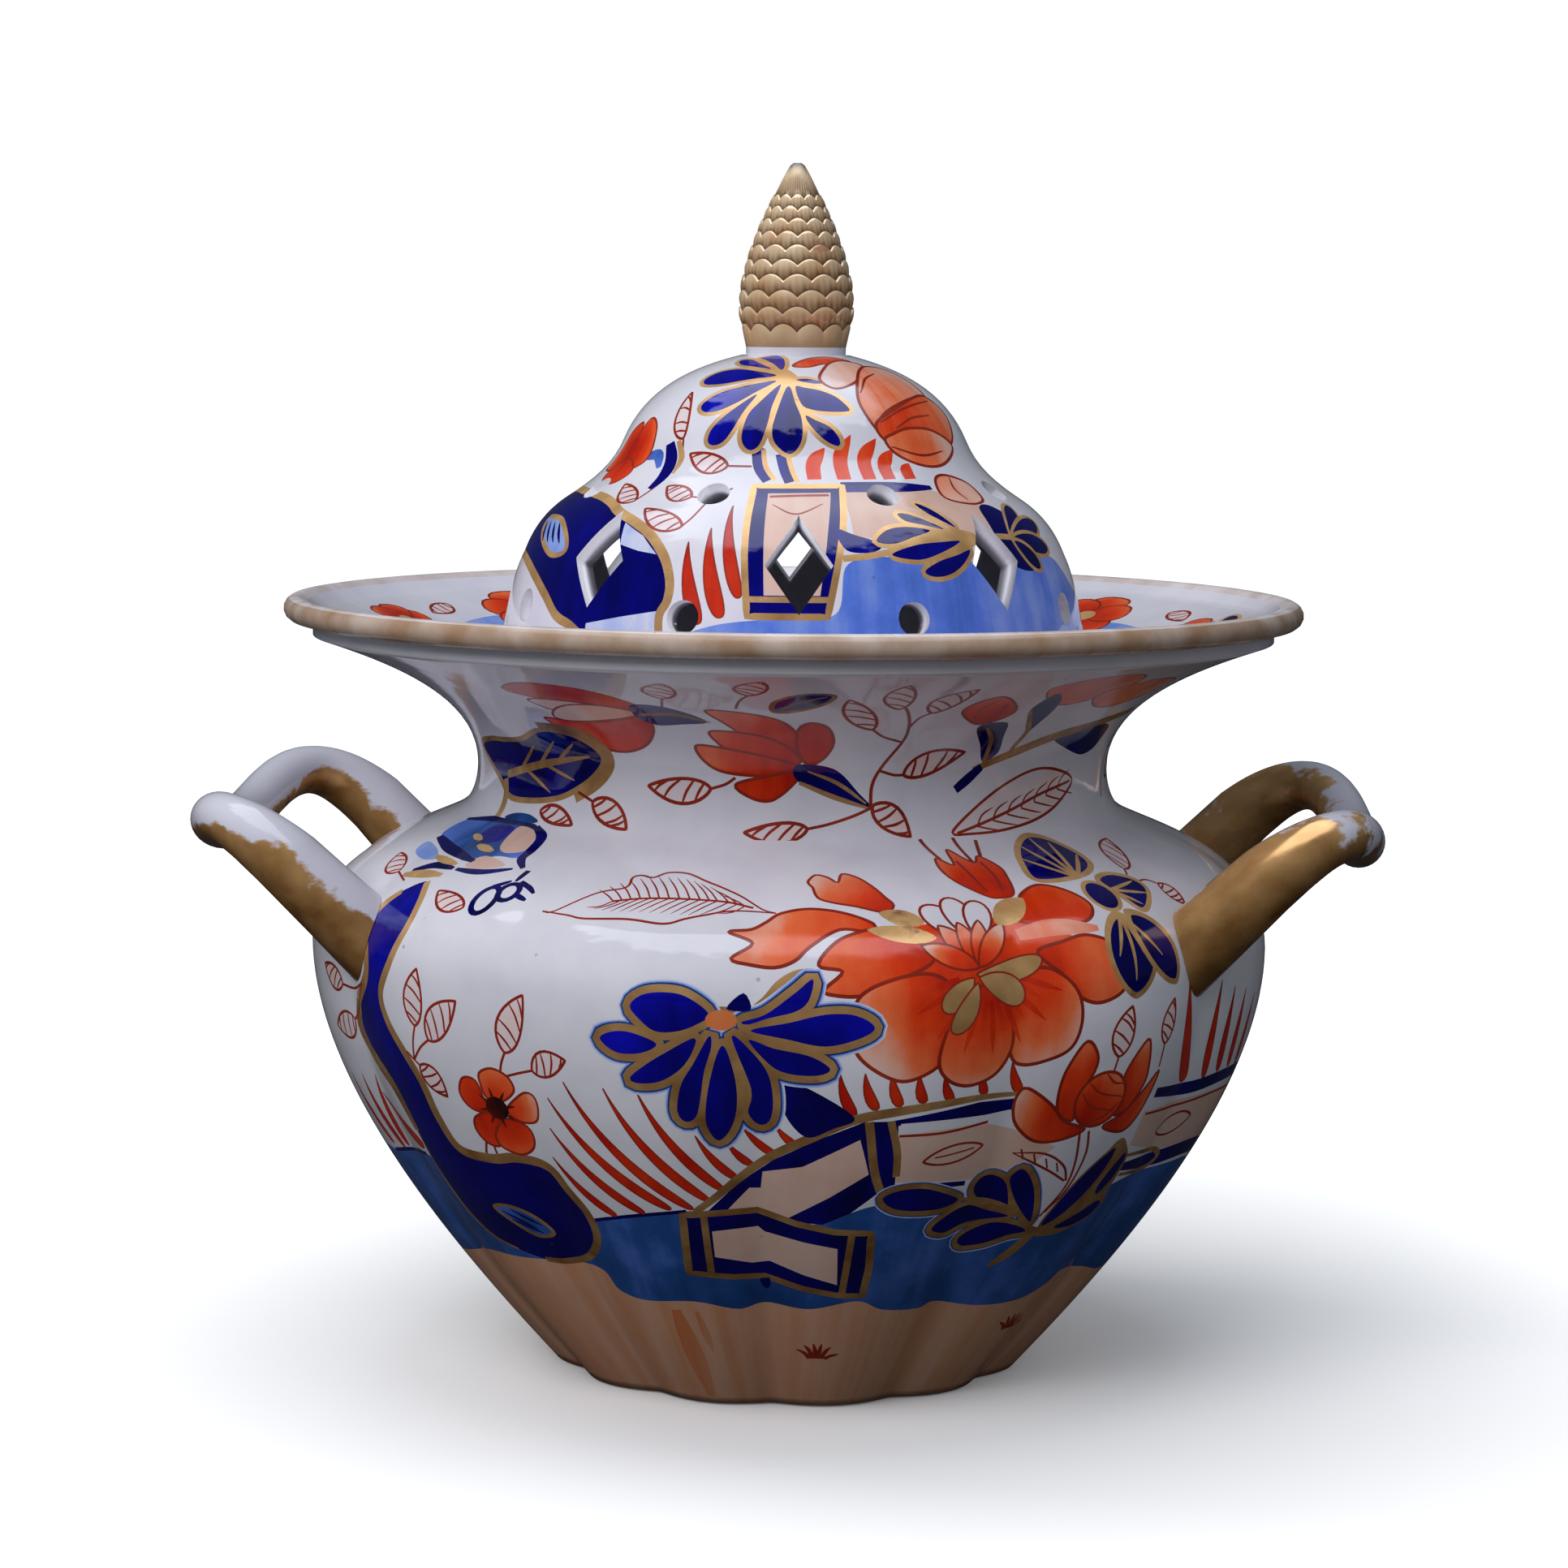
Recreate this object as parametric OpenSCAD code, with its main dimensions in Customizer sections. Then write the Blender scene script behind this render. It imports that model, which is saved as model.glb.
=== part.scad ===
// Lidded potpourri vase: a melon-lobed bowl closed by a foot disc, a thrown neck that flares
// to a rolled rim, two rod handles luted to the shoulder, and a pierced dome cover with a
// locating flange and a scaled bud finial. The cover stands on a gallery inside the neck.
// Millimetres, +Z up, origin on the table under the middle of the foot, handles along X.

/* [Bowl] */
// Number of lobes round the bowl
lobes = 12; // [8:1:16]
// Depth of the crease between two lobes at the belly
lobe_depth = 2.4; // [1:0.1:3]
// Depth of the crease between two lobes at the foot
foot_lobe_depth = 3; // [1:0.1:3.4]
// Radius of the wall's lower edge over the lobes
foot_r = 49.5; // [47:0.5:54]
// Radius of the belly over the lobes
belly_r = 100.4; // [94:0.2:110]
// Height of the belly above the table
belly_z = 90; // [80:1:100]
// Height from the belly up to the neck joint
shoulder_h = 27.6; // [24:0.2:32]
// Wall of the bowl
bowl_wall = 5.6; // [4:0.1:6.5]
// Lean of the wall where it leaves the foot, in degrees from upright
foot_lean = 42; // [34:1:46]
// Height of the wall's lower edge above the table
foot_lift = 0.4; // [0.2:0.1:1]

/* [Foot disc] */
// Thickness of the ledge that carries the disc
ledge_t = 3.8; // [3:0.1:5]
// Thickness of the disc above the ledge
disc_t = 3.6; // [3:0.1:5]
// How far the disc overlaps the ledge
disc_lap = 6; // [3:0.2:7]
// Clearance between the disc and the wall round it
disc_gap = 1; // [0.6:0.1:1.6]
// Clearance between the plug under the disc and the opening it fills
plug_gap = 0.2; // [0.1:0.05:0.4]
// Width of the ring that stands on the table
foot_ring_w = 6.5; // [4:0.1:9]
// Depth of the recess inside the foot ring
foot_recess = 1.6; // [0.8:0.1:2.4]

/* [Neck and rim] */
// Radius of the neck at the joint with the bowl
joint_r = 68.2; // [66.5:0.1:72]
// Radius of the neck at its narrowest
neck_r = 65.8; // [62:0.2:67]
// Height from the joint to the narrowest place
neck_low_h = 8; // [6:0.2:10]
// Height from the narrowest place to the end of the flare
flare_h = 27; // [25:0.2:32]
// Radius of the rim over the lip
rim_r = 105.9; // [100:0.1:114]
// Thickness of the rolled lip
lip_t = 4.9; // [4:0.1:6]
// How far the lip stands out past the step below it
lip_overhang = 6; // [4:0.1:8]
// Height of the step under the lip
step_h = 3; // [2:0.1:4]
// Rise of the flare where it meets the step, in degrees
flare_rise = 18.5; // [12:0.5:26]
// Wall of the neck
neck_wall = 5; // [4:0.1:6]
// Depth of the gallery below the top of the rim
gallery_drop = 19.5; // [18:0.1:21]
// Width of the gallery shelf inside the neck's wall
gallery_w = 5.8; // [4:0.1:7]
// Thickness of the gallery shelf at its edge
gallery_t = 4; // [3:0.1:5]

/* [Handles] */
// Diameter of the handle's rod
rod_d = 13; // [10:0.2:14.5]
// How far the handle stands out past the belly
handle_out = 22.4; // [17:0.2:26]
// Angle between the handle's axis and each of its roots
root_angle = 31; // [26:0.5:36]
// Height of the roots' centres above the belly
root_rise = 6; // [2:0.2:9]
// Height of the handle's outer bend above the belly
bend_rise = 23; // [19:0.2:28]
// Lift of the leg's control point above the outer bend, which raises the crest
crest_lift = 11; // [6:0.5:15]
// Thickening of the rod at its roots
root_swell = 1.2; // [0:0.1:2]
// Seam left for the slip between a root and the bowl
slip_gap = 0.25; // [0.2:0.05:0.5]

/* [Cover] */
// Turn of the cover on its seat, in degrees
cover_turn = 4.5; // [-20:0.5:20]
// Width of the cover's seat outside the throat
seat_w = 7.3; // [5:0.1:9]
// Clearance under the cover's seat
seat_gap = 0.2; // [0.1:0.05:0.4]
// Height of the brow, where the lower dome turns in, above the seat
brow_h = 40; // [38:0.2:43]
// How far the brow lies inside the cover's edge
brow_in = 15.3; // [13:0.1:18]
// Height of the upper dome's foot above the brow
waist_h = 12.1; // [10:0.1:15]
// How far the upper dome's foot lies inside the brow
waist_in = 11.5; // [9:0.1:13]
// Height of the upper dome
crown_h = 17.3; // [15:0.1:21]
// Wall of the cover
cover_wall = 4.5; // [3.5:0.1:5.5]
// Thickness of the ring that the cover stands on
seat_ring_t = 4; // [3:0.1:5]
// Number of piercings in each of the three rows
piercings = 8; // [6:1:10]
// Width of a diamond piercing
diamond_w = 13.5; // [9:0.1:16]
// Height of a diamond piercing
diamond_h = 19; // [14:0.1:21]
// Height of the diamonds' centres above the seat
diamond_z = 29; // [26:0.1:30]
// Diameter of the round piercings
hole_d = 6.7; // [4:0.1:8]
// Height of the lower round piercings above the seat
low_hole_z = 18.6; // [14:0.1:20]
// Place of the upper round piercings along the waist, from the brow
high_hole_at = 0.17; // [0.1:0.01:0.4]

/* [Cover flange] */
// Clearance between the flange and the throat
throat_gap = 0.6; // [0.4:0.05:1.2]
// Wall of the flange
flange_wall = 4; // [3:0.1:5]
// Depth of the flange below the seat
flange_h = 8; // [5:0.1:12]

/* [Finial] */
// Radius of the finial's foot
finial_foot_r = 10.3; // [9:0.1:11]
// Radius of the finial at its fullest
finial_r = 11.9; // [11:0.1:14]
// Height of the fullest place above the finial's foot
finial_full_h = 10.2; // [8:0.1:12]
// Height of the finial
finial_h = 39.4; // [36:0.1:44]
// Radius of the blunt tip
tip_r = 1.2; // [0.8:0.1:1.8]
// Margin of the cover's crown round the finial's foot
finial_margin = 0.9; // [0.5:0.1:2]
// Rows of scales
scale_rows = 10; // [6:1:12]
// Scales in a row
scales = 12; // [8:1:16]
// Height of the first row's edge above the finial's foot
scale_start = 4.6; // [3.5:0.1:6]
// Height from the last row's edge to the tip
scale_end = 7.5; // [5:0.1:9]
// Rise of a scale's rounded edge
scale_arch = 1.7; // [0.8:0.1:2.2]
// How far a scale's edge stands proud of the next row
scale_step = 0.7; // [0.3:0.05:1]

/* [Hidden] */
$fn = 96;
GLAZE = "#dfe3ee";
GILT = "#b58a45";
FOOT_GLAZE = "#d8d4cf";

// Facets: steps across a lobe, along each profile curve, round and along a rod, across a scale
lobe_steps = 6;
around = lobes * lobe_steps;
flank_steps = 16;
shoulder_steps = 12;
inner_flank_steps = 12;
inner_shoulder_steps = 8;
curve_steps = 10;
lip_step = 15;
rod_sides = 16;
leg_steps = 14;
scale_steps = 4;
hole_sides = 32;

// Lengths of the curves' control arms, which set how full each curve is
flank_arm = 38;
belly_arm_below = 28;
belly_arm_above = 19;
joint_arm = 6;
neck_arm_below = 2.6;
neck_arm_above = 13;
flare_arm = 20;
side_arm = 25;
side_lean = 7;
brow_arm = 11;
brow_lean = 57;
waist_arm_low = 8;
waist_arm_high = 5;
crown_lean = 23;
crown_arm_low = 11;
crown_arm_top = 11;
crown_slope = 14;
joint_lean = 41.6;
root_arm_out = 25;
root_arm_round = 8;
bend_arm = 38;
finial_arm_low = 4.2;
finial_arm_high = 9;
tip_arm_out = 4.6;
tip_arm_down = 7.5;

// Height over which the lobes die out below the neck, and where the handle's first plain ring lies
lobe_run = 16;
first_ring_at = 0.14;
settle_turns = 12;
// Share of the way to the wall that a settling point moves in each turn
settle_pace = 0.6;
// Rings of a root's seated end, as shares of its radius, which let it follow the crease under it
seat_shares = [0.25, 0.5, 0.75, 1];
// Small edges: the flange's chamfer, the finial's collar and blunt tip, and a scale's thin lip
flange_chamfer = 1;
collar_h = 1.5;
tip_h = 1.2;
scale_lip = 0.25;
// How much the scales' spacing, arch and step lessen towards the tip, as shares
spacing_taper = 0.22;
arch_taper = 0.5;
step_taper = 0.4;
// End of the rolled lip's arc, and how far the cutters reach in and out past the cover's edge
lip_end = 120;
cutter_in = 26;
cutter_out = 6;

// Heights and radii that follow from the sizes above
joint_z = belly_z + shoulder_h;
neck_z = joint_z + neck_low_h;
flare_z = neck_z + flare_h;
rim_z = flare_z + step_h + lip_t;
flare_r = rim_r - lip_overhang;
neck_in_r = neck_r - neck_wall;
gallery_z = rim_z - gallery_drop;
throat_r = neck_in_r - gallery_w;
seat_z = gallery_z + seat_gap;
cover_r = throat_r + seat_w;
flange_r = throat_r - throat_gap;
flange_in_r = flange_r - flange_wall;
brow_r = cover_r - brow_in;
brow_z = seat_z + brow_h;
crown_r = brow_r - waist_in;
crown_z = brow_z + waist_h;
cover_top_z = crown_z + crown_h;
finial_seat_r = finial_foot_r + finial_margin;
ledge_z = foot_lift + ledge_t;
disc_top = ledge_z + disc_t;

function bezier(p, t) =
    p[0] * pow(1 - t, 3) + 3 * p[1] * t * pow(1 - t, 2) + 3 * p[2] * t * t * (1 - t) + p[3] * pow(t, 3);
function bezier_slope(p, t) =
    3 * (p[1] - p[0]) * pow(1 - t, 2) + 6 * (p[2] - p[1]) * t * (1 - t) + 3 * (p[3] - p[2]) * t * t;
function unit(v) = v / norm(v);
function along(angle) = [cos(angle), sin(angle)];
function curve(p, n) = [for (i = [0:n]) bezier(p, i / n)];
// The same curve moved towards the inside of the vessel by a wall, from its upper end down
function inner_curve(p, n, wall) = [
    for (i = [n:-1:0])
        let (t = i / n, d = unit(bezier_slope(p, t)))
            bezier(p, t) + wall * [-d[1], d[0]]
];
function tail(list) = [for (i = [1:len(list) - 1]) list[i]];
function reversed(list) = [for (i = [len(list) - 1:-1:0]) list[i]];
function above(profile, z) = [for (p = profile) if (p[1] > z) p];
// Radius at a height on a profile that is a list of [radius, height], from its lower end up
function radius_at(z, profile) = lookup(z, [for (p = profile) [p[1], p[0]]]);

// Profile curves, each a cubic between two stations in the [radius, height] plane
flank = [
    [foot_r, foot_lift],
    [foot_r, foot_lift] + flank_arm * along(90 - foot_lean),
    [belly_r, belly_z - belly_arm_below],
    [belly_r, belly_z]
];
shoulder = [
    [belly_r, belly_z],
    [belly_r, belly_z + belly_arm_above],
    [joint_r, joint_z] - joint_arm * along(90 + joint_lean),
    [joint_r, joint_z]
];
neck_low = [
    [joint_r, joint_z],
    [joint_r, joint_z] + neck_arm_below * along(90 + joint_lean),
    [neck_r, neck_z - neck_arm_below],
    [neck_r, neck_z]
];
flare = [
    [neck_r, neck_z],
    [neck_r, neck_z + neck_arm_above],
    [flare_r, flare_z] - flare_arm * along(flare_rise),
    [flare_r, flare_z]
];
cover_side = [
    [cover_r, seat_z],
    [cover_r, seat_z] + side_arm * along(90 + side_lean),
    [brow_r, brow_z] - brow_arm * along(90 + brow_lean),
    [brow_r, brow_z]
];
cover_waist = [
    [brow_r, brow_z],
    [brow_r, brow_z] + waist_arm_low * along(90 + brow_lean),
    [crown_r, crown_z] - waist_arm_high * along(90 + crown_lean),
    [crown_r, crown_z]
];
cover_crown = [
    [crown_r, crown_z],
    [crown_r, crown_z] + crown_arm_low * along(90 + crown_lean),
    [finial_seat_r, cover_top_z] - crown_arm_top * along(180 - crown_slope),
    [finial_seat_r, cover_top_z]
];
bud_low = [
    [finial_foot_r, 0],
    [finial_foot_r, finial_arm_low],
    [finial_r, finial_full_h - finial_arm_low],
    [finial_r, finial_full_h]
];
bud_high = [
    [finial_r, finial_full_h],
    [finial_r, finial_full_h + finial_arm_high],
    [tip_r + tip_arm_out, finial_h - tip_arm_down],
    [tip_r, finial_h]
];

bowl_profile = concat(curve(flank, flank_steps), tail(curve(shoulder, shoulder_steps)));
bowl_inside = concat(
    [[joint_r - bowl_wall, joint_z]],
    inner_curve(shoulder, inner_shoulder_steps, bowl_wall),
    tail(inner_curve(flank, inner_flank_steps, bowl_wall))
);
bud_profile = concat(curve(bud_low, curve_steps), tail(curve(bud_high, curve_steps)));

// The disc fills the foot to its clearance, and its plug fills the opening inside the ledge
ledge_r = radius_at(ledge_z, reversed(bowl_inside));
disc_r = ledge_r - disc_gap;
plug_r = disc_r - disc_lap;

// The lobes swell between creases, deepest at the foot, and die out where the shoulder meets the neck
function smooth(x) = let (c = max(0, min(1, x))) c * c * (3 - 2 * c);
function lobe_fade(z) = smooth((joint_z - z) / lobe_run);
function crease_depth(z) =
    lobe_fade(z) * (foot_lobe_depth + (lobe_depth - foot_lobe_depth) * smooth(z / belly_z));
function lobed_r(a, z) =
    radius_at(z, bowl_profile) - crease_depth(z) * (1 - abs(sin(lobes * a / 2)));
function lobed_ring(z) = [
    for (k = [0:around - 1])
        let (a = 360 * k / around, r = lobed_r(a, z))
            [r * cos(a), r * sin(a), z]
];
function round_ring(p) = [
    for (k = [0:around - 1])
        let (a = 360 * k / around)
            [p[0] * cos(a), p[0] * sin(a), p[1]]
];

// Triangles between neighbouring rings of points; a closed loft also joins the last to the first
function band(low, high, n) = [
    for (k = [0:n - 1])
        let (next = (k + 1) % n)
            each [[low + k, high + k, high + next], [low + k, high + next, low + next]]
];
function loft_faces(rings, n, closed) = [
    for (i = [0:rings - (closed ? 1 : 2)])
        each band(i * n, ((i + 1) % rings) * n, n)
];
module closed_loft(rings) {
    n = len(rings[0]);
    polyhedron([for (ring = rings) each ring], loft_faces(len(rings), n, true));
}
// A loft whose two ends are closed by fans round a middle point
module capped_loft(rings, first_middle, last_middle) {
    n = len(rings[0]);
    m = len(rings);
    last = (m - 1) * n;
    first_fan = [for (k = [0:n - 1]) [m * n, k, (k + 1) % n]];
    last_fan = [for (k = [0:n - 1]) [m * n + 1, last + (k + 1) % n, last + k]];
    points = concat([for (ring = rings) each ring], [first_middle, last_middle]);
    polyhedron(points, concat(loft_faces(m, n, false), first_fan, last_fan));
}

// Lobed wall, open at the neck and at the foot, with a ledge round the foot opening
module bowl() {
    ledge = [
        [ledge_r, ledge_z],
        [plug_r + plug_gap, ledge_z],
        [plug_r + plug_gap, foot_lift]
    ];
    outer_rings = [for (p = bowl_profile) lobed_ring(p[1])];
    inner_rings = [for (p = concat(above(bowl_inside, disc_top), ledge)) round_ring(p)];
    color(GLAZE) closed_loft(concat(outer_rings, inner_rings));
}

// Disc luted in from above: its rim lies on the ledge and its ring stands on the table
module foot_disc() {
    color(FOOT_GLAZE) rotate_extrude() polygon([
        [0, foot_recess],
        [plug_r - foot_ring_w - foot_recess, foot_recess],
        [plug_r - foot_ring_w, 0],
        [plug_r, 0],
        [plug_r, ledge_z],
        [disc_r, ledge_z],
        [disc_r, disc_top],
        [0, disc_top]
    ]);
}

// Thrown collar: concave neck, flare, step, rolled lip, dished inside and gallery for the cover
module neck() {
    lip_c = [rim_r - lip_t / 2, rim_z - lip_t / 2];
    lip = [for (a = [-90:lip_step:lip_end]) lip_c + lip_t / 2 * along(a)];
    dish = inner_curve(flare, 2 * curve_steps, neck_wall);
    gallery_r = radius_at(gallery_z, reversed(dish));
    outside = concat(
        curve(neck_low, curve_steps / 2),
        tail(curve(flare, 2 * curve_steps)),
        [[flare_r, rim_z - lip_t]],
        lip
    );
    inside = concat(
        above(dish, gallery_z),
        [
            [gallery_r, gallery_z],
            [throat_r, gallery_z],
            [throat_r, gallery_z - gallery_t],
            [neck_in_r, gallery_z - gallery_t - gallery_w],
            [neck_in_r, neck_z],
            [joint_r - bowl_wall, joint_z]
        ]
    );
    color(GLAZE) rotate_extrude() polygon(concat(outside, inside));
}

// Half of a handle's centre line, from the near root up over the crest to the outer bend
root_z = belly_z + root_rise;
root_r = lobed_r(root_angle, root_z);
bend_x = belly_r + handle_out - rod_d / 2;
bend_z = belly_z + bend_rise;
leg = [
    [root_r * cos(root_angle), -root_r * sin(root_angle), root_z],
    [
        root_r * cos(root_angle) + root_arm_out,
        -root_r * sin(root_angle) - root_arm_round,
        bend_z + crest_lift
    ],
    [bend_x, -bend_arm, bend_z],
    [bend_x, 0, bend_z]
];
leg_params = [for (i = [0:leg_steps]) first_ring_at + (1 - first_ring_at) * i / leg_steps];

// A ring of points round the centre line, square to it
function rod_ring(p, d, r) =
    let (side = unit(cross(d, [0, 0, 1])), down = cross(unit(d), side))
        [for (k = [0:rod_sides - 1]) let (a = 360 * k / rod_sides) p + r * (cos(a) * side + sin(a) * down)];
// Slides a point along the rod until it lies a slip seam off the lobed wall
function settle(p, d, turns) =
    turns == 0
        ? p
        : let (
            off = norm([p[0], p[1]]) - lobed_r(atan2(p[1], p[0]), p[2]) - slip_gap,
            rate = unit([p[0], p[1], 0]) * d
        )
            settle(p - settle_pace * off / rate * d, d, turns - 1);
function leg_ring(t) =
    rod_ring(bezier(leg, t), bezier_slope(leg, t), rod_d / 2 + root_swell * pow(1 - t, 4));
function opposite(ring) = [for (p = ring) [p[0], -p[1], p[2]]];

module handle() {
    start = unit(bezier_slope(leg, 0));
    swollen_r = rod_d / 2 + root_swell;
    seated = [
        for (share = seat_shares)
            [for (p = rod_ring(leg[0], start, share * swollen_r)) settle(p, start, settle_turns)]
    ];
    middle = settle(leg[0], start, settle_turns);
    near = concat(seated, [for (t = leg_params) leg_ring(t)]);
    far = [for (i = [len(near) - 2:-1:0]) opposite(near[i])];
    capped_loft(concat(near, far), middle, [middle[0], -middle[1], middle[2]]);
}
module handle_right() {
    color(GILT) handle();
}
module handle_left() {
    color(GILT) rotate([0, 0, 180]) handle();
}

// Double-domed cover: one revolved wall, pierced by diamonds and two rows of round holes
module cover_wall_solid() {
    ring_top = seat_z + seat_ring_t;
    inside = concat(
        inner_curve(cover_crown, curve_steps, cover_wall),
        tail(inner_curve(cover_waist, curve_steps, cover_wall)),
        tail(inner_curve(cover_side, curve_steps, cover_wall))
    );
    above_ring = above(inside, ring_top);
    ring_r = radius_at(ring_top, reversed(inside));
    rotate_extrude() polygon(concat(
        curve(cover_side, curve_steps),
        tail(curve(cover_waist, curve_steps)),
        tail(curve(cover_crown, curve_steps)),
        [[0, cover_top_z], [0, above_ring[0][1]]],
        above_ring,
        [[ring_r, ring_top], [flange_in_r, ring_top], [flange_in_r, seat_z]]
    ));
}
module around_cover(offset_steps) {
    for (i = [0:piercings - 1])
        rotate([0, 0, -90 + (i + offset_steps) * 360 / piercings])
            children();
}
module diamond_cutter() {
    translate([cover_r - cutter_in, 0, seat_z + diamond_z])
        rotate([90, 0, 90])
            linear_extrude(cutter_in + cutter_out)
                polygon([
                    [-diamond_w / 2, 0],
                    [0, -diamond_h / 2],
                    [diamond_w / 2, 0],
                    [0, diamond_h / 2]
                ]);
}
module low_hole_cutter() {
    translate([cover_r - cutter_in, 0, seat_z + low_hole_z])
        rotate([0, 90, 0])
            cylinder(d = hole_d, h = cutter_in + cutter_out, $fn = hole_sides);
}
module high_hole_cutter() {
    p = bezier(cover_waist, high_hole_at);
    d = unit(bezier_slope(cover_waist, high_hole_at));
    translate([p[0], 0, p[1]])
        rotate([0, atan2(d[1], -d[0]), 0])
            cylinder(d = hole_d, h = 4 * cover_wall, center = true, $fn = hole_sides);
}
module cover() {
    color(GLAZE) rotate([0, 0, cover_turn]) difference() {
        cover_wall_solid();
        around_cover(0) diamond_cutter();
        around_cover(0.5) low_hole_cutter();
        around_cover(0.5) high_hole_cutter();
    }
}

// Ring luted under the seat, which drops into the throat and keeps the cover central
module cover_flange() {
    color(GLAZE) rotate_extrude() polygon([
        [flange_in_r, seat_z - flange_h],
        [flange_r - flange_chamfer, seat_z - flange_h],
        [flange_r, seat_z - flange_h + flange_chamfer],
        [flange_r, seat_z],
        [flange_in_r, seat_z]
    ]);
}

// Bud finial: rows of upward scales, each row's rounded edges standing over the next row's feet
function row_z(row) =
    let (x = row / (scale_rows - 1))
        scale_start + (finial_h - scale_end - scale_start) * x * (1 + spacing_taper * (1 - x));
function scale_edge(row, a) =
    let (u = a * scales / 360 + row / 2, across = 2 * (u - floor(u)) - 1)
        row_z(row) + scale_arch * (1 - across * across) * (1 - arch_taper * row / scale_rows);
function bud_ring(row, step) = [
    for (k = [0:scales * scale_steps - 1])
        let (
            a = 360 * k / (scales * scale_steps),
            z = scale_edge(row, a) + (step > 0 ? scale_lip : 0),
            r = radius_at(z, bud_profile) - step * (1 - step_taper * row / scale_rows)
        )
            [r * cos(a), r * sin(a), cover_top_z + z]
];
function plain_ring(z, r) = [
    for (k = [0:scales * scale_steps - 1])
        let (a = 360 * k / (scales * scale_steps))
            [r * cos(a), r * sin(a), cover_top_z + z]
];
module finial() {
    tip_z = finial_h - tip_h;
    rings = concat(
        [plain_ring(0, finial_foot_r), plain_ring(collar_h, finial_foot_r)],
        [for (row = [0:scale_rows - 1]) each [bud_ring(row, 0), bud_ring(row, scale_step)]],
        [plain_ring(tip_z, radius_at(tip_z, bud_profile)), plain_ring(finial_h, tip_r)]
    );
    color(GILT) rotate([0, 0, cover_turn])
        capped_loft(rings, [0, 0, cover_top_z], [0, 0, cover_top_z + finial_h]);
}

bowl();
foot_disc();
neck();
handle_left();
handle_right();
cover();
cover_flange();
finial();
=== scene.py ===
"""Looks of a painted potpourri vase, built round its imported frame.

Finished pieces are in metres in the part's own frame: +Z up, handles along X, the painting's front
towards -Y. Turned surfaces are drawn flat on charts in millimetres: x runs round the surface at a
reference radius from the front, and y runs along the profile from its lower edge.
"""
import logging
import math
from dataclasses import dataclass, field
from enum import Enum
from typing import Callable, Iterable, Sequence

import bmesh
import bpy
import numpy as np
from bmesh.types import BMEdge, BMesh, BMVert
from bpy.types import ID, Material, Mesh, Node, NodeSocket, NodeTree, Object
from mathutils import Matrix, Vector, geometry


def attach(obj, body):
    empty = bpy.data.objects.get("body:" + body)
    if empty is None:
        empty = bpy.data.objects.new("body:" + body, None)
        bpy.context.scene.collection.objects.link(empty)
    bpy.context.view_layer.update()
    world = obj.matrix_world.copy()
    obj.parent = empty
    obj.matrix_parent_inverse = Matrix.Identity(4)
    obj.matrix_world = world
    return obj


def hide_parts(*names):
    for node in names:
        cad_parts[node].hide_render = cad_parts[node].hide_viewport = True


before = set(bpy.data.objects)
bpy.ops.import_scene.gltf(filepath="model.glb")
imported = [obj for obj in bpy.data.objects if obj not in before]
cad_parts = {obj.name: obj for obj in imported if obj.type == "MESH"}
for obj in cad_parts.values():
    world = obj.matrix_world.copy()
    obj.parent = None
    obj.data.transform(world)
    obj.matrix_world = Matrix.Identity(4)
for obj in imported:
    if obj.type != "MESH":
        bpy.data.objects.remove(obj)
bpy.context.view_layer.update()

LOG = logging.getLogger("potpourri_vase")
MM = 0.001
Point = tuple[float, float]
Colour = tuple[float, float, float]
CORNER = math.radians(30)  # A profile that turns by more than this has a sharp edge there.
NORMAL_REACH = 0.12  # Distance on a chart over which a normal is taken, in millimetres.
LEAF_BEND, LEAF_VEINS = 0.05, 5  # Sideways bow of a small leaf, and its veins.
HANDLE_BEND = (0.106, 0.122)  # Where along X a handle's bend starts and ends, in metres.
ROUND_STEPS = 96  # Steps round a turned ring.


class Paint(Enum):
    """The paints on the glazed surfaces, by their place among a piece's material slots."""

    GLAZE = 0
    COBALT = 1
    WASH = 2
    RED = 3
    LINE = 4
    SALMON = 5
    GILT = 6
    GROUND = 7
    LIP = 8


def along(degrees: float, length: float = 1.0) -> np.ndarray:
    """A vector at an angle in a plane."""
    return length * np.array([math.cos(math.radians(degrees)), math.sin(math.radians(degrees))])


def cubic(start: Sequence[float], arm_a: Sequence[float], arm_b: Sequence[float], end: Sequence[float],
          count: int = 64) -> np.ndarray:
    """Points along a cubic curve.

    Args:
        start: First point.
        arm_a: Control point after the start.
        arm_b: Control point before the end.
        end: Last point.
        count: How many points.

    Returns:
        The points, one row each.
    """
    t = np.linspace(0.0, 1.0, count)[:, None]
    a, b, c, d = (np.asarray(p, float) for p in (start, arm_a, arm_b, end))
    return a * (1 - t) ** 3 + 3 * b * t * (1 - t) ** 2 + 3 * c * t * t * (1 - t) + d * t ** 3


def inset(curve: np.ndarray, wall: float) -> np.ndarray:
    """A profile curve moved towards the inside of the vessel by a wall, from its upper end down."""
    slope = np.gradient(curve, axis=0)
    slope /= np.linalg.norm(slope, axis=1)[:, None]
    return (curve + wall * np.stack([-slope[:, 1], slope[:, 0]], axis=1))[::-1]


def smooth_step(value: np.ndarray) -> np.ndarray:
    """Zero below 0, one above 1, and an even rise between."""
    clipped = np.clip(value, 0.0, 1.0)
    return clipped * clipped * (3 - 2 * clipped)


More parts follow.
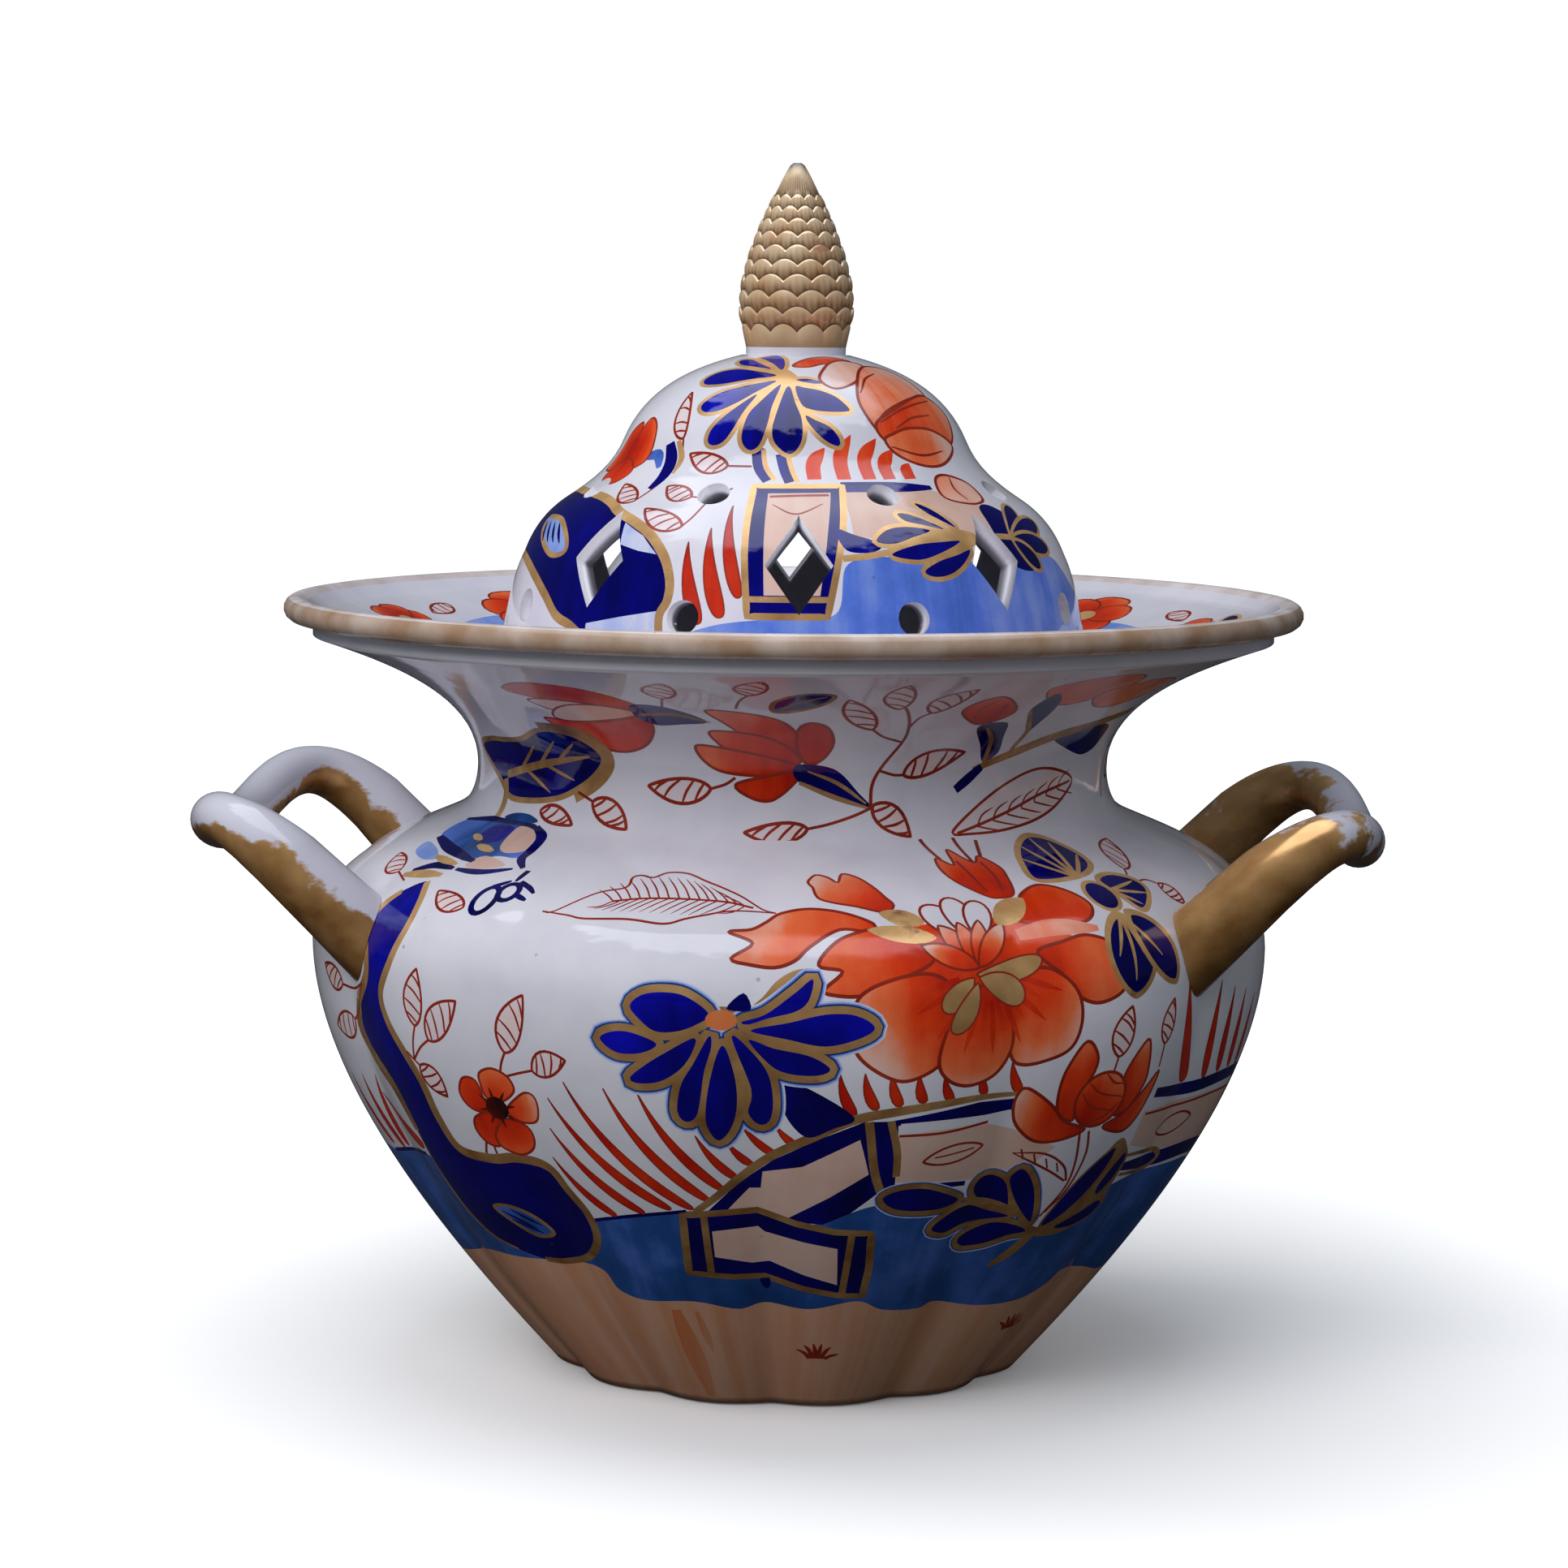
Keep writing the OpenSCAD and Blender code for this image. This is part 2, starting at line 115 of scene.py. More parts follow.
@dataclass(frozen=True)
class Lobes:
    """Melon lobes that swell between creases and die out up the shoulder.

    Attributes:
        count: Lobes round the bowl.
        depth: Depth of a crease at the belly.
        foot_depth: Depth of a crease at the foot.
        belly_z: Height of the belly.
        top: Height at which the lobes have died out.
        run: Height over which they die out.
        softness: Rounding of the crease's bottom.
    """

    count: int = 12
    depth: float = 2.4
    foot_depth: float = 3.0
    belly_z: float = 90.0
    top: float = 117.6
    run: float = 16.0
    softness: float = 0.10

    def radius(self, angle: np.ndarray, radius: np.ndarray, height: np.ndarray) -> np.ndarray:
        """The lobed radius at an angle, where the plain profile has a radius and a height."""
        ridge = np.sqrt(np.sin(self.count * angle / 2) ** 2 + self.softness ** 2)
        ridge = ridge / math.sqrt(1 + self.softness ** 2)
        fade = smooth_step((self.top - height) / self.run)
        depth = self.foot_depth + (self.depth - self.foot_depth) * smooth_step(height / self.belly_z)
        return radius - depth * fade * (1 - ridge)


class Chart:
    """A turned surface laid flat, for drawing on."""

    def __init__(self, runs: Sequence[np.ndarray], reference: float, columns: int, row: float,
                 lobes: Lobes | None = None, joins: tuple[bool, bool] = (False, False)) -> None:
        """Joins the profile's runs and measures along them.

        Args:
            runs: Profile curves as rows of radius and height, each starting where the last ended.
            reference: Radius at which x is measured.
            columns: Steps of the plain grid over half a turn.
            row: Spacing of the plain grid's rows.
            lobes: Lobes on the surface, if any.
            joins: Whether the lower and the upper end run on into another piece.
        """
        profile = np.concatenate([runs[0]] + [run[1:] for run in runs[1:]])
        steps = np.linalg.norm(np.diff(profile, axis=0), axis=1)
        self.arc = np.concatenate([[0.0], np.cumsum(steps)])
        self.radii, self.heights = profile[:, 0], profile[:, 1]
        self.ends = [float(self.arc[sum(len(r) - 1 for r in runs[:i + 1])]) for i in range(len(runs))]
        turns = [Vector(a[-1] - a[-2]).angle(Vector(b[1] - b[0])) for a, b in zip(runs, runs[1:])]
        open_ends = [end for end, joined in zip((0.0, float(self.arc[-1])), joins) if not joined]
        self.corners = open_ends + [end for end, turn in zip(self.ends, turns) if turn > CORNER]
        self.reference, self.columns, self.row = reference, columns, row
        self.lobes = lobes

    @property
    def length(self) -> float:
        """Length of the profile."""
        return float(self.arc[-1])

    @property
    def half(self) -> float:
        """Half the width of a chart, which covers half a turn."""
        return math.pi / 2 * self.reference

    def stretch(self, y: float) -> float:
        """How much wider the chart is than the surface at a place along the profile."""
        return self.reference / float(np.interp(y, self.arc, self.radii))

    def place(self, flat: np.ndarray) -> np.ndarray:
        """The points in space, in metres, of points on the chart."""
        radius = np.interp(flat[:, 1], self.arc, self.radii)
        height = np.interp(flat[:, 1], self.arc, self.heights)
        angle = flat[:, 0] / self.reference - math.pi / 2
        if self.lobes:
            radius = self.lobes.radius(angle, radius, height)
        return MM * np.stack([radius * np.cos(angle), radius * np.sin(angle), height], axis=1)

    def normals(self, flat: np.ndarray) -> np.ndarray:
        """Unit normals of the surface at points on the chart."""
        step_x, step_y = np.array([NORMAL_REACH, 0.0]), np.array([0.0, NORMAL_REACH])
        across = self.place(flat + step_x) - self.place(flat - step_x)
        up = self.place(flat + step_y) - self.place(flat - step_y)
        normal = np.cross(across, up)
        return normal / np.maximum(np.linalg.norm(normal, axis=1), 1e-12)[:, None]


def spline(points: Sequence[Point], closed: bool = False, step: float = 1.1) -> np.ndarray:
    """A smooth curve through points.

    Args:
        points: The points, in order.
        closed: Whether the curve returns to its first point.
        step: Wanted spacing of the samples.

    Returns:
        Samples along the curve, without the repeated first point if it is closed.
    """
    knots = np.asarray(points, float)
    count = len(knots)
    if closed:
        knots = np.concatenate([knots[-1:], knots, knots[:2]])
    else:
        knots = np.concatenate([2 * knots[:1] - knots[1:2], knots, 2 * knots[-1:] - knots[-2:-1]])
    parts = []
    for i in range(1, count + (1 if closed else 0)):
        a, b, c, d = knots[i - 1], knots[i], knots[i + 1], knots[i + 2]
        samples = max(2, math.ceil(float(np.linalg.norm(c - b)) / step))
        t = np.linspace(0.0, 1.0, samples, endpoint=False)[:, None]
        parts.append(b + 0.5 * t * (c - a + t * (2 * a - 5 * b + 4 * c - d + t * (3 * (b - c) + d - a))))
    if not closed:
        parts.append(knots[-2:-1])
    return np.concatenate(parts)


def polygon(points: Sequence[Point], step: float = 1.5) -> np.ndarray:
    """A straight-sided closed outline, sampled so that it follows a curved surface."""
    corners = np.asarray(points, float)
    parts = []
    for a, b in zip(corners, np.roll(corners, -1, axis=0)):
        samples = max(1, math.ceil(float(np.linalg.norm(b - a)) / step))
        parts.append(a + (b - a) * np.linspace(0.0, 1.0, samples, endpoint=False)[:, None])
    return np.concatenate(parts)


def ellipse(centre: Point, rx: float, ry: float) -> np.ndarray:
    """A closed ellipse."""
    count = max(14, int(3.5 * (rx + ry)))
    angle = np.linspace(0.0, 2 * math.pi, count, endpoint=False)
    return np.stack([rx * np.cos(angle), ry * np.sin(angle)], axis=1) + np.asarray(centre)


def winding(points: np.ndarray, contour: np.ndarray) -> np.ndarray:
    """How often a closed contour winds round each point."""
    px, py = points[:, 0], points[:, 1]
    turns = np.zeros(len(points), int)
    for (ax, ay), (bx, by) in zip(contour, np.roll(contour, -1, axis=0)):
        if ay == by:
            continue
        side = (bx - ax) * (py - ay) - (px - ax) * (by - ay)
        if ay < by:
            turns += (py >= ay) & (py < by) & (side > 0)
        else:
            turns -= (py >= by) & (py < ay) & (side < 0)
    return turns


@dataclass
class Patch:
    """A painted area: its contours, its paint, and how its tone runs out from a point.

    Attributes:
        contours: Closed outlines; an area is inside where they wind round it.
        paint: The paint.
        base: Where the tone starts.
        reach: Distance over which the tone runs.
        tones: Tone at the base and at the end of the reach.
        curve: Power of the tone's run; above 1 it changes most at the end.
    """

    contours: list[np.ndarray]
    paint: Paint
    base: Point = (0.0, 0.0)
    reach: float = 1.0
    tones: Point = (0.0, 0.0)
    curve: float = 1.0

    def covers(self, points: np.ndarray) -> np.ndarray:
        """Which points lie inside the area."""
        return sum(winding(points, contour) for contour in self.contours) != 0

    def tone(self, points: np.ndarray) -> np.ndarray:
        """The tone at points."""
        share = np.clip(np.linalg.norm(points - np.asarray(self.base), axis=1) / self.reach, 0.0, 1.0)
        return self.tones[0] + (self.tones[1] - self.tones[0]) * share ** self.curve


@dataclass
class Brush:
    """Draws on a chart; later strokes lie over earlier ones.

    Attributes:
        chart: The chart that is drawn on.
        patches: What has been painted, in order.
        fine: Width of a fine red line.
    """

    chart: Chart
    patches: list[Patch] = field(default_factory=list)
    fine: float = 0.6

    def fill(self, outline: np.ndarray, paint: Paint, base: Point = (0.0, 0.0), reach: float = 1.0,
             tones: Point = (0.0, 0.0), curve: float = 1.0) -> None:
        """Paints the inside of an outline."""
        self.patches.append(Patch([outline], paint, base, reach, tones, curve))

    def blob(self, points: Sequence[Point], paint: Paint, base: Point = (0.0, 0.0), reach: float = 1.0,
             tones: Point = (0.0, 0.0)) -> None:
        """Paints an area with a smooth edge through points."""
        self.fill(spline(points, True), paint, base, reach, tones)

    def panel(self, corners: Sequence[Point], paint: Paint, tones: Point = (0.0, 0.0)) -> None:
        """Paints an area with straight sides."""
        self.fill(polygon(corners), paint, tones=tones)

    def sides(self, path: np.ndarray, half: np.ndarray, closed: bool) -> tuple[np.ndarray, np.ndarray]:
        """The two sides of a stroke whose half width is true on the surface."""
        stretch = np.array([self.chart.stretch(y) for y in path[:, 1]])
        if closed:
            run = np.roll(path, -1, axis=0) - np.roll(path, 1, axis=0)
        else:
            run = np.gradient(path, axis=0)
        run = run / np.stack([stretch, np.ones_like(stretch)], axis=1)
        run /= np.maximum(np.linalg.norm(run, axis=1), 1e-9)[:, None]
        offset = np.stack([-run[:, 1] * stretch, run[:, 0]], axis=1) * half[:, None]
        return path + offset, path - offset

    def stroke(self, points: Sequence[Point], width: float, paint: Paint, ends: Point = (1.0, 1.0),
               tones: Point = (0.0, 0.0)) -> None:
        """Paints an open stroke.

        Args:
            points: The points that the stroke runs through.
            width: Its width at the middle.
            paint: Its paint.
            ends: Its width at both ends, as shares.
            tones: Its tone at both ends.
        """
        path = spline(points)
        share = np.linspace(0.0, 1.0, len(path))
        swell = np.where(share < 0.5, ends[0] + (1 - ends[0]) * np.sin(math.pi * share),
                         ends[1] + (1 - ends[1]) * np.sin(math.pi * share))
        left, right = self.sides(path, width / 2 * swell, False)
        contour = np.concatenate([left, right[::-1]])
        reach = float(np.linalg.norm(path[-1] - path[0])) or 1.0
        self.patches.append(Patch([contour], paint, tuple(path[0]), reach, tones))

    def strokes(self, paths: Sequence[Sequence[Point]], width: float, paint: Paint, ends: Point = (1.0, 1.0)) -> None:
        """Paints open strokes that are alike."""
        for path in paths:
            self.stroke(path, width, paint, ends)

    def edge(self, outline: np.ndarray, width: float, paint: Paint) -> None:
        """Paints a line round a closed outline."""
        left, right = self.sides(outline, np.full(len(outline), width / 2), True)
        self.patches.append(Patch([right, left[::-1]], paint))

    def inked(self, outline: np.ndarray, line: float, paint: Paint, base: Point = (0.0, 0.0), reach: float = 1.0,
              tones: Point = (0.0, 0.0), curve: float = 1.0) -> None:
        """Paints the inside of an outline, and a red line round it."""
        self.fill(outline, paint, base, reach, tones, curve)
        self.edge(outline, line, Paint.LINE)

    def petal(self, base: Point, tip: Point, width: float, bend: float = 0.0, root: float = 1.0,
              end: float = 1.0, step: float = 1.1) -> np.ndarray:
        """The outline of a petal, leaf or blade.

        Args:
            base: Where it starts.
            tip: Where it ends.
            width: Its width at its fullest.
            bend: Sideways bow of its axis, as a share of its length, to the left of its run.
            root: Shape of its start: 1 is pointed, 0.5 round.
            end: Shape of its end, likewise.
            step: Spacing of the samples.

        Returns:
            The closed outline.
        """
        start, stop = np.asarray(base, float), np.asarray(tip, float)
        run = stop - start
        length = float(np.linalg.norm(run))
        side = np.array([-run[1], run[0]])
        count = max(6, math.ceil(length / step))
        t = (1 - np.cos(math.pi * np.linspace(0.0, 1.0, count + 1))) / 2
        fullest = root / (root + end)
        peak = fullest ** root * (1 - fullest) ** end
        half = width / 2 * t ** root * (1 - t) ** end / peak / length
        axis = start + run * t[:, None] + side * (4 * bend * t * (1 - t))[:, None]
        left, right = axis + side * half[:, None], axis - side * half[:, None]
        return np.concatenate([left, right[-2:0:-1]])

    def blade(self, base: Point, tip: Point, width: float, bend: float = 0.07) -> None:
        """A flame-shaped blade of grass in red."""
        self.inked(self.petal(base, tip, 0.86 * width, bend, 0.38, 1.1), 0.35, Paint.RED, tones=(0.04, 0.04))

    def leaf(self, base: Point, tip: Point, width: float) -> None:
        """A small leaf drawn in fine red line with slanting veins, on a faint tint."""
        outline = self.petal(base, tip, width, LEAF_BEND, 0.7, 0.95, 0.9)
        self.fill(outline, Paint.RED, tones=(1.0, 1.0))
        count = len(outline)
        left, right = outline[:count // 2 + 1], outline[:count // 2 - 1:-1]
        for i in range(1, LEAF_VEINS + 1):
            at = i / (LEAF_VEINS + 1.6)
            a = right[int(at * (len(right) - 1))]
            b = left[min(int((at + 0.22) * (len(left) - 1)), len(left) - 1)]
            middle = (a + b) / 2 + 0.1 * (np.asarray(tip) - np.asarray(base)) * (0.5 - abs(at - 0.5))
            self.stroke([tuple(a), tuple(middle), tuple(b)], self.fine * 0.85, Paint.LINE, (0.7, 0.5))
        self.edge(outline, self.fine, Paint.LINE)

    def flesh(self, outline: np.ndarray, base: Point, reach: float, tones: Point = (0.0, 1.0),
              line: float = 0.6) -> None:
        """A flower's petal: red that pales away from a point, in a dark red line."""
        self.inked(outline, line, Paint.RED, base, reach, (0.7 * tones[0], 0.8 * tones[1]), 2.0)

    def gilded(self, base: Point, tip: Point, width: float, root: float, end: float, gold: float) -> None:
        """A cobalt petal in a gilt outline of a width."""
        start, stop = np.asarray(base, float), np.asarray(tip, float)
        run = (stop - start) / np.linalg.norm(stop - start)
        outer = self.petal(base, tuple(stop + gold * run), width + 2 * gold, 0.0, root, end)
        self.fill(outer, Paint.GILT, base, 20.0, (0.0, 1.0))
        self.fill(self.petal(tuple(start + 1.5 * gold * run), tip, width, 0.0, root, end), Paint.COBALT)

    def rim_of(self, points: Sequence[Point], paint: Paint, gold: float, tone: float = 0.2) -> None:
        """A smooth area of paint in a gilt outline of a width."""
        outline = spline(points, True)
        self.fill(outline, paint, tones=(tone, tone))
        self.edge(outline, gold, Paint.GILT)

    def swollen(self, outline: np.ndarray, by: float) -> np.ndarray:
        """A closed outline moved outwards."""
        def area(ring: np.ndarray) -> float:
            """The area inside a ring."""
            after = np.roll(ring, -1, axis=0)
            return abs(float(np.sum(ring[:, 0] * after[:, 1] - ring[:, 1] * after[:, 0])))
        return max(self.sides(outline, np.full(len(outline), by), True), key=area)

    def leaves(self, outlines: Sequence[Sequence[Point]], gold: float, bleed: float = 0.0,
               base: Point = (0.0, 0.0), reach: float = 1.0, tones: Point = (0.2, 0.2)) -> None:
        """Cobalt leaves whose gilt outlines run together.

        Args:
            outlines: Points round each leaf's blue.
            gold: Width of the gilding round it.
            bleed: Width of the blue that bled out past the gilding.
            base: Where the blue's tone starts.
            reach: Distance over which it runs.
            tones: Its tones.
        """
        rings = [spline(points, True) for points in outlines]
        if bleed:
            for share, tone in ((0.7, 0.9), (0.45, 0.6), (0.25, 0.05)):
                for ring in rings:
                    self.fill(self.swollen(ring, gold + share * bleed), Paint.WASH, tones=(tone, tone))
        for ring in rings:
            self.fill(self.swollen(ring, gold), Paint.GILT, tones=(0.3, 0.3))
        for ring in rings:
            self.fill(ring, Paint.COBALT, base, reach, tones)


def sheet(chart: Chart, brush: Brush, holes: Sequence[np.ndarray], name: str) -> Mesh:
    """The chart's half turn as a mesh whose edges follow every painted outline.

    Args:
        chart: The surface.
        brush: What is painted on it.
        holes: Outlines that are cut out of it.
        name: The mesh's name.

    Returns:
        A mesh of triangles with the paints as material indices, the tone on its corners and the
        true surface normal on its points.
    """
    columns = np.linspace(-chart.half, chart.half, chart.columns + 1)
    rows: list[float] = [0.0]
    for end in chart.ends:
        count = max(8, round((end - rows[-1]) / chart.row))
        rows += list(np.linspace(rows[-1], end, count + 1)[1:])
    points = [(float(x), float(y)) for y in rows for x in columns]
    width = len(columns)
    top = (len(rows) - 1) * width
    edges = [(i, i + 1) for i in range(width - 1)] + [(top + i, top + i + 1) for i in range(width - 1)]
    edges += [(j * width + i, (j + 1) * width + i) for j in range(len(rows) - 1) for i in (0, width - 1)]
    for contour in [c for patch in brush.patches for c in patch.contours] + list(holes):
        first, count = len(points), len(contour)
        points += [(float(x), float(y)) for x, y in contour]
        edges += [(first + i, first + (i + 1) % count) for i in range(count)]
    made = geometry.delaunay_2d_cdt([Vector(p) for p in points], edges, [], 0, 1e-4, False)
    flat = np.array([tuple(v) for v in made[0]])
    faces = np.array([f for f in made[2] if len(f) == 3], int)
    middle = flat[faces].mean(axis=1)
    kept = (np.abs(middle[:, 0]) < chart.half) & (middle[:, 1] > 0) & (middle[:, 1] < chart.length)
    for hole in holes:
        kept &= winding(middle, hole) == 0
    faces, middle = faces[kept], middle[kept]
    owner = np.full(len(faces), -1)
    for index, patch in enumerate(brush.patches):
        corners = np.concatenate(patch.contours)
        low, high = corners.min(axis=0), corners.max(axis=0)
        near = np.nonzero(((middle > low) & (middle < high)).all(axis=1))[0]
        if len(near):
            owner[near[patch.covers(middle[near])]] = index
    paints = np.zeros(len(faces), np.int32)
    tones = np.zeros((len(faces), 3), np.float32)
    for index in np.unique(owner[owner >= 0]):
        patch = brush.patches[index]
        mine = np.nonzero(owner == index)[0]
        paints[mine] = patch.paint.value
        tones[mine] = patch.tone(flat[faces[mine].ravel()]).reshape(-1, 3)
    used, faces = np.unique(faces, return_inverse=True)
    faces = faces.reshape(-1, 3)
    flat = flat[used]
    mesh = bpy.data.meshes.new(name)
    mesh.from_pydata(chart.place(flat).tolist(), [], faces.tolist())
    mesh.polygons.foreach_set("material_index", paints)
    mesh.attributes.new("tone", "FLOAT", "CORNER").data.foreach_set("value", tones.ravel())
    normals = chart.normals(flat).astype(np.float32)
    for corner in chart.corners:
        normals[np.abs(flat[:, 1] - corner) < 1e-3] = 0.0
    skin = mesh.attributes.new("skin", "FLOAT_VECTOR", "POINT")
    skin.data.foreach_set("vector", normals.ravel())
    return mesh


def boundary_loops(bm: BMesh) -> list[list[BMEdge]]:
    """The open edges of a mesh as separate loops, from the lowest to the highest."""
    left = dict.fromkeys(e for e in bm.edges if e.is_boundary)
    loops = []
    while left:
        seed = left.popitem()[0]
        loop, queue = [seed], [seed]
        while queue:
            for vert in queue.pop().verts:
                for e in vert.link_edges:
                    if e in left:
                        del left[e]
                        loop.append(e)
                        queue.append(e)
        loops.append(loop)
    return sorted(loops, key=lambda edges: sum(v.co.z for e in edges for v in e.verts) / (2 * len(edges)))


def extruded(bm: BMesh, loop: list[BMEdge]) -> tuple[set[BMVert], list[BMEdge]]:
    """Extrudes a loop in its place, and gives the new points and the new loop."""
    made = bmesh.ops.extrude_edge_only(bm, edges=loop)["geom"]
    fresh = {v for v in made if isinstance(v, BMVert)}
    return fresh, [e for e in made if isinstance(e, BMEdge) and set(e.verts) <= fresh]


def turned(bm: BMesh, loop: list[BMEdge], stations: Iterable[Sequence[float]]) -> list[BMEdge]:
    """Extrudes a round loop through stations of radius and height in millimetres.

    Args:
        bm: The mesh.
        loop: The loop's edges.
        stations: Where each new ring lies.

    Returns:
        The edges of the last ring.
    """
    for radius, height in stations:
        fresh, loop = extruded(bm, loop)
        for vert in fresh:
            angle = math.atan2(vert.co.y, vert.co.x)
            vert.co = MM * Vector((radius * math.cos(angle), radius * math.sin(angle), height))
    return loop


def full_turn(mesh: Mesh) -> BMesh:
    """A half-turn sheet and its copy, turned by half a turn, joined at both seams."""
    bm = bmesh.new()
    bm.from_mesh(mesh)
    skin = bm.verts.layers.float_vector["skin"]
    copy = bmesh.ops.duplicate(bm, geom=bm.verts[:] + bm.edges[:] + bm.faces[:])["geom"]
    verts = [v for v in copy if isinstance(v, BMVert)]
    half_turn = Matrix.Rotation(math.pi, 3, "Z")
    bmesh.ops.rotate(bm, cent=(0, 0, 0), matrix=half_turn, verts=verts)
    for vert in verts:
        vert[skin] = half_turn @ vert[skin]
    rim = [v for v in bm.verts if v.is_boundary]
    bmesh.ops.remove_doubles(bm, verts=rim, dist=2e-6)
    return bm


def spun(profile: Sequence[Sequence[float]], steps: int) -> BMesh:
    """A closed solid of revolution from a profile of radius and height in millimetres.

    Args:
        profile: The stations; a profile that starts and ends on the axis closes there.
        steps: Steps round the turn.

    Returns:
        The solid, with outward faces.
    """
    bm = bmesh.new()
    verts = [bm.verts.new((MM * r, 0.0, MM * z)) for r, z in profile]
    edges = [bm.edges.new(pair) for pair in zip(verts, verts[1:])]
    if profile[0][0] > 0:
        edges.append(bm.edges.new((verts[-1], verts[0])))
    bmesh.ops.spin(
        bm, geom=verts + edges, cent=(0, 0, 0), axis=(0, 0, 1), dvec=(0, 0, 0), angle=2 * math.pi, steps=steps,
        use_merge=True)
    bmesh.ops.remove_doubles(bm, verts=bm.verts[:], dist=1e-6)
    bmesh.ops.recalc_face_normals(bm, faces=bm.faces[:])
    return bm


def linked(name: str, data: ID) -> Object:
    """A new object in the scene."""
    obj = bpy.data.objects.new(name, data)
    bpy.context.scene.collection.objects.link(obj)
    return obj


def piece(bm: BMesh, name: str, finishes: Sequence[Material], body: str, node: str,
          crease: float = 35.0) -> Object:
    """Makes a finished object of a mesh and seats it in the frame.

    Args:
        bm: The mesh, which is freed.
        name: The object's name.
        finishes: Its materials, by index.
        body: The body that it rides on.
        node: The node that it stands for.
        crease: Angle past which an edge is sharp.

    Returns:
        The object.
    """
    mesh = bpy.data.meshes.new(name)
    drawn = bm.verts.layers.float_vector.get("skin")
    for face in bm.faces:
        face.smooth = True
    for e in bm.edges:
        plain = drawn is None or not all(v[drawn].length > 0.5 for v in e.verts)
        if plain and len(e.link_faces) == 2:
            e.smooth = e.calc_face_angle(0.0) < math.radians(crease)
    bm.to_mesh(mesh)
    bm.free()
    skin = mesh.attributes.get("skin")
    if skin:
        normals = np.zeros(3 * len(mesh.vertices), np.float32)
        skin.data.foreach_get("vector", normals)
        mesh.attributes.remove(skin)
        mesh.normals_split_custom_set_from_vertices(normals.reshape(-1, 3).tolist())
    for finish in finishes:
        mesh.materials.append(finish)
    obj = linked(name, mesh)
    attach(obj, body)
    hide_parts(node)
    LOG.info("%s: %d faces, rides on %s", name, len(mesh.polygons), body)
    return obj


def loft(rings: Sequence[np.ndarray], caps: Sequence[np.ndarray]) -> BMesh:
    """A solid through rings of points, made by extruding the first ring.

    Args:
        rings: Rings with the same number of points, in metres.
        caps: Middle points that close the first and the last ring.

    Returns:
        The solid, with outward faces.
    """
    bm = bmesh.new()
    ring = [bm.verts.new(tuple(p)) for p in rings[0]]
    edges = [bm.edges.new((a, b)) for a, b in zip(ring, ring[1:] + ring[:1])]
    first = ring
    for target in rings[1:]:
        fresh, edges = extruded(bm, edges)
        above = [next(e.other_vert(v) for e in v.link_edges if e.other_vert(v) in fresh) for v in ring]
        for vert, place in zip(above, target):
            vert.co = tuple(place)
        ring = above
    for end, middle in ((first, caps[0]), (ring, caps[1])):
        hub = bm.verts.new(tuple(middle))
        for a, b in zip(end, end[1:] + end[:1]):
            bm.faces.new((hub, a, b))
    bmesh.ops.recalc_face_normals(bm, faces=bm.faces[:])
    return bm


def srgb(red: float, green: float, blue: float) -> Colour:
    """A colour as a screen shows it, in the linear values that shaders take."""
    return tuple(v / 12.92 if v <= 0.04045 else ((v + 0.055) / 1.055) ** 2.4 for v in (red, green, blue))


